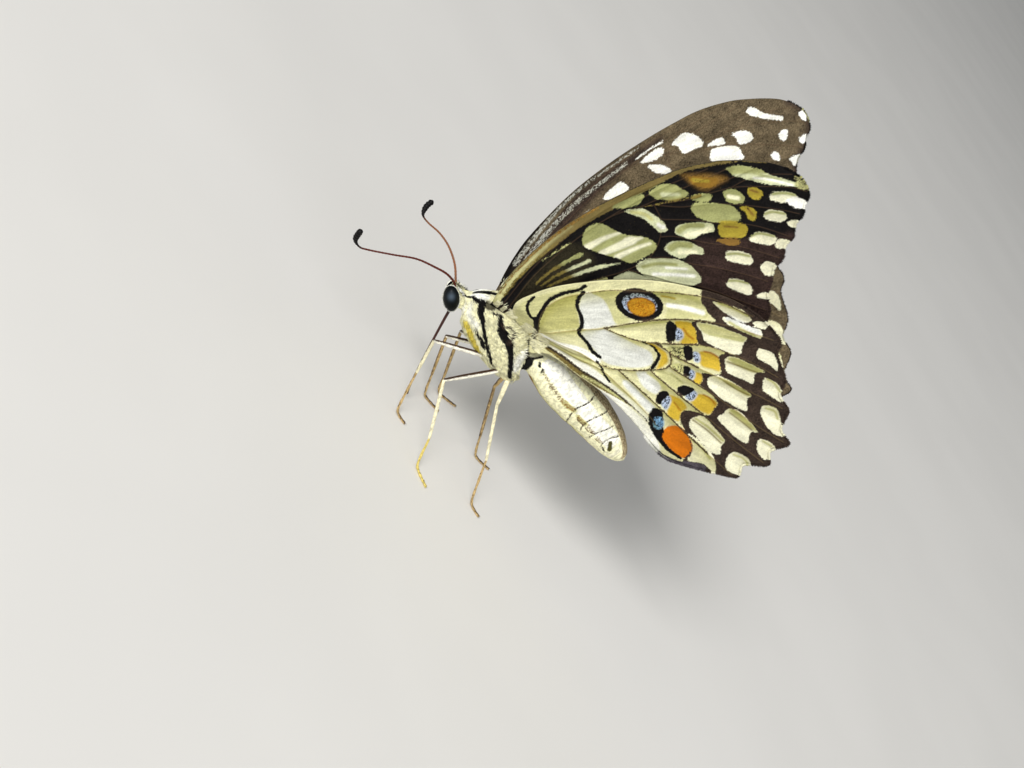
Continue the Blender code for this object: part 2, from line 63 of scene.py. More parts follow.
# Studio: each light's direction, power in watts and size in metres
LIGHTS = {"key": ((-0.6, -0.95, 0.8), 12.0, 0.42), "fill": ((0.9, -0.7, 0.7), 1.2, 0.8)}
LIGHT_DISTANCE_M = 1.1
SKY_COLOUR = (0.94, 0.97, 1.0, 1.0)
SKY_STRENGTH = 0.34
FLOOR_HALF = 2000.0

# The body's frame, as in the CAD source
BODY_SHIFT = np.array([1.55, 0.0, 0.0])
BODY_PITCH = math.radians(12.0)
WING_SPREAD = math.radians(13.5)
HINGE = np.array([-7.9, 0.0, 15.8])
HINGE_HALF_WIDTH = 2.8
HINDWING_OFFSET = 1.1
HINDWING_STEP = 2.3
HINDWING_FREE = 6.0

# Wing mesh
WING_SPACING = 0.15
RIM_STEP = 0.14
VEIN_STEP = 0.16
VEIN_SIDES = (0.07, 0.17)
VEIN_CLEARANCE = 0.26
MEMBRANE_HALF = 0.045
VEIN_HEIGHT = 0.085
VEIN_HALF_WIDTH = 0.085
RIM_INSET = 0.09
SIDE_ROW_INSET = 0.07
VEIN_INSET = 0.05
FRINGE_STEP = 0.085
FRINGE_INSET = 0.12
FRINGE_ROWS = ((0.34, 0.02), (0.25, -0.02))  # the length and the rise of each row
RAY_CENTRE = (-3.0, -2.0)
RAY_COUNT = 34.0
RAY_STRETCH = 0.3
SHADE_REACH = 0.5
SHADE_TINT = np.array([0.74, 0.73, 0.52])
ROOT_HAIRS = 900
ROOT_HAIR_LIFT = 0.25
HAIR_HEIGHT = 6.0
FRINGE_HEIGHT = 9.0
FRINGE_ROOT = 0.1
FACE_HEIGHT = 3.0
WING_LENGTH = 35.0
ROOT_SINK = 1.1
ROOT_START = -2.2
ROOT_END = 0.6
COSTA_HEIGHT = 0.07
COSTA_WIDTH = 0.3
FOREWING_FOLD = 0.12
HINDWING_FOLD = 0.24
FOLD_POWER = 1.3
FOLD_START = 6.0
FOLD_FULL = 16.0
MARK_STEP = 0.25
MARK_MARGIN = 0.6
MARK_SPILL = 0.2
SPILL_BLEND = 0.1
WASH_BLEND = 0.24
MIST_LEVEL = -0.01
SOFT_REACH = 0.9

# Wing scales: cells per millimetre, and how far the pattern's edges stray and soften
WING_CELLS = 7.5
SCALE_STRAY = 0.13
FINE_STRAY = 0.14
EDGE_SOFTNESS = 0.035
VEIN_LINE = (0.03, 0.09)


def srgb(red, green, blue):
    """A linear colour from red, green and blue out of 255."""
    scaled = np.array([red, green, blue]) / 255.0
    return tuple(np.where(scaled > 0.04045, ((scaled + 0.055) / 1.055) ** 2.4, scaled / 12.92))


WHITE = srgb(250, 249, 238)
CREAM = srgb(240, 236, 198)
PALE_CREAM = srgb(232, 229, 198)
SILVER = srgb(224, 225, 216)
STRAW = srgb(206, 203, 146)
BUTTER = srgb(192, 188, 122)
GREEN = srgb(158, 160, 104)
PALE_GREEN = srgb(202, 205, 164)
OLIVE = srgb(190, 188, 128)
DEEP_OLIVE = srgb(122, 108, 54)
COSTA_OLIVE = srgb(116, 101, 58)
OCHRE = srgb(142, 106, 40)
MUSTARD = srgb(168, 150, 54)
YELLOW = srgb(204, 172, 56)
ORANGE = srgb(216, 118, 16)
AMBER = srgb(160, 102, 18)
EYESPOT_GOLD = srgb(190, 140, 34)
BLUE = srgb(176, 190, 212)
TORNAL_BLUE = srgb(130, 178, 216)
GREY = srgb(180, 180, 168)
BLACK = srgb(14, 12, 12)
DARK_BROWN = srgb(54, 43, 36)
RED_BROWN = srgb(48, 35, 31)
OLIVE_BLACK = srgb(40, 36, 24)
BROWN = srgb(128, 96, 44)
UPPER_BROWN = srgb(92, 80, 60)
SPECKLE = srgb(176, 162, 126)
CROWN_GREY = srgb(100, 96, 74)
DORSAL_TAN = srgb(206, 190, 150)
CLASPER_OLIVE = srgb(70, 66, 30)
FOLD_OLIVE = srgb(112, 98, 52)
VIOLET_GREY = srgb(74, 68, 74)
PATCH_YELLOW = srgb(222, 204, 92)
ABDOMEN_CREAM = srgb(234, 229, 198)
ABDOMEN_WHITE = srgb(238, 236, 220)
HINDWING_CREAM = srgb(219, 215, 166)
BODY_CREAM = srgb(238, 234, 194)
DEEP_BROWN = srgb(88, 62, 30)
TONGUE_BROWN = srgb(62, 30, 24)

# Kinds of marks
SPOT, DARK, WASH, MIST, INK = "spot", "dark", "wash", "mist", "ink"
SOFT_WASH, SOFT_INK = "soft wash", "soft ink"


def tenths(points):
    """Points in millimetres, from tenths of a millimetre."""
    return np.array(points, float) / 10


def marks(*groups):
    """Marks in the order of painting. Each group is a kind, a colour, half a line's width and any
    number of lines or outlines. The half width is in millimetres, as one number or as two for a
    line that tapers, and None stands for closed outlines.
    """
    return [(kind, colour, half_width, tenths(outline))
            for kind, colour, half_width, *outlines in groups for outline in outlines]


# Wings seen flat: along the wing from the hinge, and across it towards the back
FOREWING_OUTLINE = [(-22, -6), (-4, -11), (26, -17), (55, -19), (109, -16), (157, -7), (200, 5),
    (232, 16), (254, 25), (274, 37), (290, 49.5), (311, 72), (320, 87), (323, 101), (321, 112),
    (314, 122), (305, 125), (296, 131), (284, 133), (272, 141), (260, 142), (248, 150), (235, 151),
    (221, 160), (209, 166), (197, 180), (181, 188), (164, 199), (152, 197), (122, 166), (80, 116),
    (40, 64), (15, 31), (-2, 18), (-22, 14)]
FOREWING_MARGIN = FOREWING_OUTLINE[12:29]
FOREWING_COSTA = FOREWING_OUTLINE[1:12]
FOREWING_VEINS = {
    "subcosta": [(-8, -1), (55, -7), (110, -6), (155, -1), (196, 9), (226, 18.5)],
    "radius": [(-8, 6), (24, 2), (54, -1), (95, 0), (127, 3), (148, 6.5), (169, 12), (190, 22),
        (202, 30)],
    "radius_1": [(148, 6.5), (181, 13), (218, 22), (250, 33), (268, 39.5)],
    "radius_2": [(190, 22), (224, 33), (257, 44), (285, 53)],
    "radius_3": [(242, 54), (270, 59), (299, 68)],
    "radius_4": [(268, 67), (288, 72), (306, 83), (320, 96)],
    "radius_5": [(202, 30), (232, 49), (251, 58), (270, 68), (289, 84), (309, 104), (317, 117)],
    "media_1": [(202, 30), (220, 49), (242, 65), (263, 86), (285, 113), (295, 128)],
    "media_2": [(195, 44), (217, 65), (230, 81), (248, 99), (259, 114), (271, 138)],
    "media_3": [(180, 56), (191, 65), (202, 81), (213, 96), (230, 116), (247, 147)],
    "cubitus_1": [(153, 63), (168, 75), (178, 92), (194, 113), (209, 136), (220, 157)],
    "cubitus_2": [(129, 58), (143, 80), (153, 98), (169, 120), (182, 148), (195, 177)],
    "cubitus": [(-8, 10), (50, 23), (98, 44), (129, 58), (153, 63), (166, 62), (180, 56), (195, 44),
        (202, 30)],
    "anal": [(-6, 14), (16, 24), (45, 52), (95, 108), (135, 154), (163, 194)]}
HINDWING_OUTLINE = [(-24, 37), (-13, 33), (-7, 23), (3, 12), (14, 6), (26, 4), (44, 9), (67, 19),
    (91, 34), (116, 53), (139, 74), (156, 94), (170, 115), (182, 136), (189, 158), (191, 180), (186, 206),
    (172, 215), (157, 239), (139, 248), (132, 266), (110, 276), (103, 293), (82, 287), (68, 297),
    (49, 281), (33, 287), (19, 269), (4, 246), (-6, 226), (-6, 210), (-2, 192), (3, 168), (6, 142),
    (4, 110), (-1, 84), (-10, 64), (-24, 52)]
HINDWING_MARGIN = HINDWING_OUTLINE[14:32]
HINDWING_VEINS = {
    "subcosta": [(-8, 39), (10, 40), (34, 29), (60, 31), (86, 45), (114, 66), (168, 124), (187, 170)],
    "radius": [(-8, 42), (12, 44), (46, 66), (67, 82), (91, 96), (118, 114), (144, 138), (164, 166),
        (182, 201)],
    "media_1": [(67, 82), (79, 109), (92, 127), (123, 156), (137, 179), (147, 204), (154, 233)],
    "media_2": [(94, 144), (103, 174), (115, 209), (124, 237), (130, 260)],
    "media_3": [(82, 154), (88, 188), (93, 229), (96, 261), (101, 288)],
    "cubitus_1": [(64, 144), (64, 184), (65, 219), (65, 253), (67, 292)],
    "cubitus_2": [(40, 122), (38, 171), (35, 208), (32, 248), (31, 282)],
    "cubitus": [(-8, 45), (5, 48), (24, 77), (31, 106), (40, 122), (64, 144), (82, 154), (94, 144),
        (92, 127)],
    "anal": [(-6, 47), (10, 70), (26, 106), (26, 141), (22, 176), (19, 190)]}

# Pale spots that show on both faces of the forewing
FOREWING_DISC_SPOTS = [
    [(194, 62), (203, 60), (213, 66), (227, 79), (222, 87), (212, 81), (202, 79), (196, 70)],
    [(173, 67), (184, 67), (193, 74), (198, 82), (200, 93), (195, 96), (187, 88), (177, 85), (173, 75)],
    [(138, 61), (150, 62), (161, 70), (173, 82), (178, 96), (174, 113), (168, 114), (158, 108), (148, 96),
     (140, 84), (136, 70)],
    [(109, 55), (128, 60), (135, 73), (139, 85), (126, 87), (106, 69)]]
FOREWING_OUTER_SPOTS = [
    [(289, 97), (296, 98), (306, 109), (306, 116), (302, 118), (292, 110), (286, 101)],
    [(269, 107), (277, 106), (286, 117), (282, 124), (275, 122), (268, 112)],
    [(240, 115), (252, 115), (261, 128), (258, 133), (251, 133), (242, 121)],
    [(209, 113), (217, 110), (228, 123), (227, 131), (221, 134), (214, 126), (208, 116)],
    [(188, 133), (196, 132), (204, 144), (202, 153), (196, 156), (191, 148), (187, 137)]]
FOREWING_MARGIN_SPOTS = [
    [(279, 127), (286, 129), (291, 134), (286, 137), (279, 133)],
    [(255, 134), (262, 134), (267, 141), (262, 145), (254, 141), (253, 137)],
    [(226, 142), (235, 142), (239, 152), (230, 156), (223, 151)],
    [(199, 161), (208, 163), (210, 169), (204, 170)]]

FOREWING_UNDER = marks(
    (SOFT_INK, RED_BROWN, None, [(166, 106), (180, 84), (204, 78), (226, 96), (254, 120), (280, 144),
     (200, 200), (150, 214), (156, 150)]),
    (SOFT_INK, OLIVE_BLACK, None, [(10, -6), (60, -9), (110, -4), (120, 16), (110, 36), (60, 34),
     (20, 24)]),
    (DARK, BLACK, (0.36, 0.3), [(-9, 3), (6, 1), (22, -3), (44, -6), (70, -7)]),
    (SPOT, CREAM, None, [(-23, 5), (-2, 7), (9, 10), (14, 22), (-2, 20), (-23, 17)]),
    (SPOT, COSTA_OLIVE, None, FOREWING_COSTA + [(313, 73), (300, 59), (277, 43), (252, 28), (223, 19),
     (177, 8), (155, 2), (142, -1), (123, -5), (102, -7), (83, -9), (62, -10), (41, -11), (18, -9),
     (-4, -5)]),
    (SOFT_WASH, STRAW, (1.0, 0.3), [(-6, -8), (25, -12), (55, -14), (90, -14), (125, -10)]),
    (WASH, STRAW, (0.14, 0.0), [(0, -9), (35, -13), (60, -14), (90, -13)]),
    (DARK, BROWN, 0.06, [(10, -12), (40, -16), (80, -16.5), (120, -12.5), (160, -5)]),
    (DARK, DEEP_OLIVE, 0.05, [(13, -9), (43, -11.5), (76, -11), (100, -9)]),
    (SPOT, GREEN, None, [(127, 3), (138, 2), (148, 7), (151, 17), (156, 31), (168, 46), (171, 58),
     (165, 62), (151, 60), (136, 55), (132, 46), (124, 31), (118, 18), (117, 11)]),
    (WASH, PALE_CREAM, (0.34, 0.1), [(117, 15), (137, 20), (157, 28)]),
    (WASH, PALE_CREAM, (0.3, 0.45), [(123, 29), (140, 35), (156, 40)]),
    (WASH, PALE_CREAM, (0.4, 0.1), [(152, 38), (166, 45)]),
    (WASH, PALE_CREAM, (0.28, 0.14), [(131, 42), (149, 47), (167, 54)]),
    (SPOT, PALE_GREEN, None, [(176, 15), (189, 23), (193, 34), (194, 48), (190, 56), (184, 53), (183, 46),
     (183, 35), (180, 26)]),
    (WASH, OLIVE, 0.2, [(180, 20), (187, 30), (188, 38)]),
    (WASH, WHITE, 0.24, [(190, 51), (189, 47)]),
    (SPOT, GREEN, (0.1, 0.2), [(48, 6), (68, 7), (90, 11), (108, 16)]),
    (SPOT, PALE_GREEN, (0.08, 0.18), [(50, 11), (70, 14), (90, 20), (108, 26)]),
    (SPOT, PALE_GREEN, (0.08, 0.22), [(54, 16), (73, 22), (92, 29), (110, 37)]),
    (SPOT, PALE_GREEN, (0.22, 0.03), [(110, 37), (120, 43), (129, 49)]),
    (SPOT, OLIVE, (0.06, 0.16), [(60, 26), (84, 39), (106, 50)]),
    (SOFT_WASH, DEEP_OLIVE, None, [(26, -4), (60, -6), (86, 4), (84, 36), (52, 32), (30, 16)]),
    (SPOT, OLIVE, 0.05, [(74, -6), (92, -3), (111, 1)]),
    (SPOT, GREEN, None, [(173, 5), (202, 15), (196, 19), (187, 18), (174, 9)], [(209, 18), (224, 21),
     (231, 27), (234, 36), (234, 45), (221, 41), (213, 33), (208, 25)]),
    (WASH, PALE_GREEN, 0.2, [(216, 28), (227, 38)]),
    (SPOT, GREEN, None, [(236, 48), (249, 57), (246, 63), (238, 59), (233, 52)]),
    (SOFT_INK, BROWN, None, [(244, 22), (256, 31), (268, 43), (277, 56), (274, 63), (263, 61), (252, 58),
     (243, 51), (241, 41), (241, 30)]),
    (SPOT, OCHRE, None, [(248, 32), (256, 40), (266, 51), (262, 56), (252, 52), (246, 42)]),
    (MIST, MUSTARD, 0.16, [(249, 38), (258, 48)]),
    (SPOT, PALE_GREEN, None, [(281, 51), (292, 58), (301, 71), (306, 85), (316, 105), (314, 107),
     (305, 98), (294, 85), (285, 70), (280, 59)]),
    (WASH, GREEN, (0.5, 0.2), [(281, 54), (292, 63), (304, 78)]),
    (WASH, WHITE, 0.12, [(292, 75), (302, 88), (312, 104)]),
    (WASH, GREEN, 0.08, [(285, 60), (298, 76), (308, 93)]),
    (MIST, OLIVE, None, [(320, 99), (325, 111), (320, 118), (313, 109), (316, 103)]),
    (SPOT, GREEN, None, [(262, 65), (270, 71), (270, 83), (263, 84), (256, 76), (257, 69)]),
    (WASH, CREAM, 0.2, [(260, 72), (265, 79)]),
    (SPOT, MUSTARD, None, [(280, 78), (286, 83), (286, 91), (279, 93), (274, 88), (275, 82)]),
    (MIST, BROWN, 0.12, [(280, 81), (283, 87)]),
    (SPOT, GREEN, None, [(226, 55), (235, 57), (247, 69), (255, 80), (253, 93), (246, 95), (237, 87),
     (227, 76), (222, 63)]),
    (SPOT, MUSTARD, None, [(259, 86), (266, 91), (267, 100), (259, 105), (256, 99), (259, 94)]),
    (MIST, BROWN, 0.12, [(264, 92), (262, 100)]),
    (SPOT, MUSTARD, None, [(234, 85), (250, 102), (240, 110), (231, 105), (223, 94)]),
    (MIST, BROWN, 0.1, [(234, 90), (242, 99)]),
    (SPOT, BROWN, None, [(217, 94), (228, 103), (233, 109), (229, 112), (221, 105)]),
    (SPOT, DEEP_OLIVE, 0.03, [(194, 25), (213, 36), (229, 46), (241, 53)]),
    (SPOT, PALE_GREEN, None, *FOREWING_DISC_SPOTS),
    (WASH, GREEN, 0.3, [(198, 64), (208, 66), (219, 75)]),
    (WASH, CREAM, 0.24, [(200, 72), (212, 79), (222, 82)]),
    (WASH, GREEN, 0.36, [(178, 71), (186, 73), (194, 81)]),
    (WASH, CREAM, 0.22, [(181, 80), (192, 90)]),
    (WASH, GREEN, 0.2, [(142, 66), (156, 74), (168, 86)]),
    (WASH, WHITE, 0.16, [(144, 78), (158, 92), (171, 106)]),
    (WASH, WHITE, 0.12, [(158, 82), (172, 96)]),
    (SPOT, PALE_CREAM, None, *FOREWING_OUTER_SPOTS, *FOREWING_MARGIN_SPOTS),
    (WASH, GREEN, 0.17, [(292, 98), (300, 104), (306, 112)]),
    (WASH, GREEN, 0.15, [(271, 107), (278, 110), (285, 119)], [(244, 114), (252, 117), (260, 128)],
     [(213, 112), (220, 117), (227, 127)], [(192, 132), (198, 137), (204, 146)]),
    (SPOT, WHITE, None, [(296, 112), (305, 116), (309, 125), (303, 128), (296, 120)]))

FOREWING_UPPER = marks(
    (SPOT, WHITE, None, [(128, 12), (137, 11), (149, 13), (153, 15), (154, 22), (151, 25), (137, 21),
     (131, 17)], [(178, 10), (190, 12), (211, 19), (209, 20), (195, 15), (181, 12)], [(179, 16),
     (191, 17), (202, 20), (205, 25), (200, 28), (190, 25), (180, 18)], [(182, 24), (187, 28), (192, 35),
     (194, 45), (191, 46), (183, 37), (181, 29)], [(213, 28), (225, 28), (232, 32), (236, 41), (236, 49),
     (232, 52), (224, 48), (214, 43), (216, 34)], [(235, 56), (243, 57), (251, 62), (248, 68), (241, 62)],
     [(259, 66), (267, 70), (273, 78), (272, 84), (267, 86), (258, 80), (258, 75), (260, 71)], [(229, 65),
     (236, 62), (244, 67), (254, 78), (253, 86), (250, 92), (240, 84), (230, 74), (227, 69)], [(286, 62),
     (291, 62), (294, 67), (296, 77), (306, 94), (303, 96), (297, 88), (289, 75), (285, 66)], [(318, 103),
     (324, 104), (324, 108), (318, 114), (316, 111)], [(300, 120), (308, 122), (305, 126), (299, 127),
     (298, 125)], [(136, 43), (150, 48), (170, 54), (169, 59), (154, 60), (136, 52)],
     *FOREWING_DISC_SPOTS, *FOREWING_OUTER_SPOTS[2:], *FOREWING_MARGIN_SPOTS, [(290, 102), (296, 102),
     (299, 106), (292, 111), (288, 110), (288, 105)], [(270, 110), (275, 110), (276, 114), (272, 121),
     (268, 115)], [(280, 130), (285, 132), (282, 135), (277, 136), (277, 133)]),
    (SOFT_INK, DARK_BROWN, (1.9, 0.7), [(0, 2), (50, -4), (100, -4), (150, 2), (210, 16)]),
    (SOFT_INK, BLACK, (1.0, 0.3), [(0, -10), (40, -18), (100, -16), (160, -6), (220, 10)]),
    (SOFT_INK, DARK_BROWN, 0.8, FOREWING_MARGIN),
    (MIST, GREY, (0.3, 0.12), [(20, -12), (70, -15), (120, -12), (190, 5)]),
    (MIST, GREY, (0.36, 0.2), [(10, -4), (60, -7.5), (110, -5), (170, 6)]),
    (MIST, GREY, (0.4, 0.1), [(20, 7), (60, 5), (110, 9)]))


def oval(centre, halves):
    """A loop round a centre, longer towards the outer margin than across."""
    along, across = np.array([0.64, 0.77]), np.array([0.77, -0.64])
    angles = np.arange(12) * math.pi / 6
    return [tuple(centre + halves[0] * math.cos(a) * along + halves[1] * math.sin(a) * across)
            for a in angles]


# Submarginal and marginal spots that show on both faces of the hindwing
HINDWING_OUTER_SPOTS = [
    [(171, 134), (182, 152), (185, 162), (182, 173), (176, 171), (171, 164), (170, 156), (168, 148),
     (169, 142)],
    [(164, 152), (169, 159), (174, 172), (181, 187), (179, 190), (174, 192), (170, 184), (165, 170),
     (162, 157)],
    [(140, 139), (146, 144), (153, 154), (159, 168), (164, 183), (158, 185), (152, 187), (147, 191),
     (141, 187), (137, 177), (131, 159), (135, 150)],
    [(131, 185), (139, 189), (144, 202), (149, 220), (143, 217), (138, 216), (129, 222), (126, 214),
     (120, 198), (123, 191)],
    [(101, 189), (110, 192), (115, 204), (119, 229), (113, 230), (107, 233), (100, 239), (94, 219),
     (93, 206), (94, 194)],
    [(87, 226), (93, 229), (95, 241), (90, 264), (86, 260), (80, 261), (72, 266), (69, 258), (69, 244),
     (72, 226), (78, 227)],
    [(56, 211), (63, 215), (62, 226), (57, 249), (49, 251), (40, 257), (36, 248), (39, 224), (43, 214),
     (50, 210)],
    [(35, 219), (37, 230), (34, 254), (19, 269), (18, 254), (11, 245), (9, 240), (18, 238), (27, 232)]]
HINDWING_MARGIN_SPOTS = [
    [(182, 175), (188, 181), (192, 186), (184, 188), (179, 179)],
    [(162, 199), (167, 205), (169, 213), (164, 223), (158, 228), (158, 218), (155, 205)],
    [(142, 225), (146, 231), (147, 239), (142, 249), (135, 256), (131, 239), (132, 232)],
    [(116, 246), (122, 249), (125, 258), (117, 269), (110, 279), (105, 283), (101, 273), (105, 256),
     (110, 249)],
    [(85, 271), (90, 279), (89, 288), (84, 292), (73, 293), (70, 288), (72, 280), (78, 273)],
    [(45, 264), (53, 265), (58, 274), (57, 283), (52, 288), (43, 289), (36, 287), (32, 274), (38, 267)]]
HINDWING_DARK = [(165, 124), (161, 128), (157, 139), (156, 150), (148, 144), (138, 135), (132, 145),
    (124, 156), (132, 169), (136, 180), (128, 179), (121, 186), (115, 193), (108, 189), (101, 181),
    (94, 187), (89, 189), (89, 204), (85, 215), (77, 217), (68, 218), (63, 210), (58, 203), (53, 199),
    (47, 199), (40, 205), (36, 214), (27, 229), (9, 237), (-8, 242), (0, 270), (30, 305), (100, 310),
    (145, 280), (176, 240), (202, 205), (204, 165), (186, 126), (174, 118)]
EYESPOT = oval((114, 88), (23.5, 18.5))
EYESPOT_RIM = oval((114, 88.5), (18.5, 14))
EYESPOT_CENTRE = oval((113, 91.5), (13, 9.8))
TORNAL_ORANGE = [(14, 203), (27, 203), (34, 209), (33, 218), (24, 233), (9, 236), (6, 224), (8, 210)]

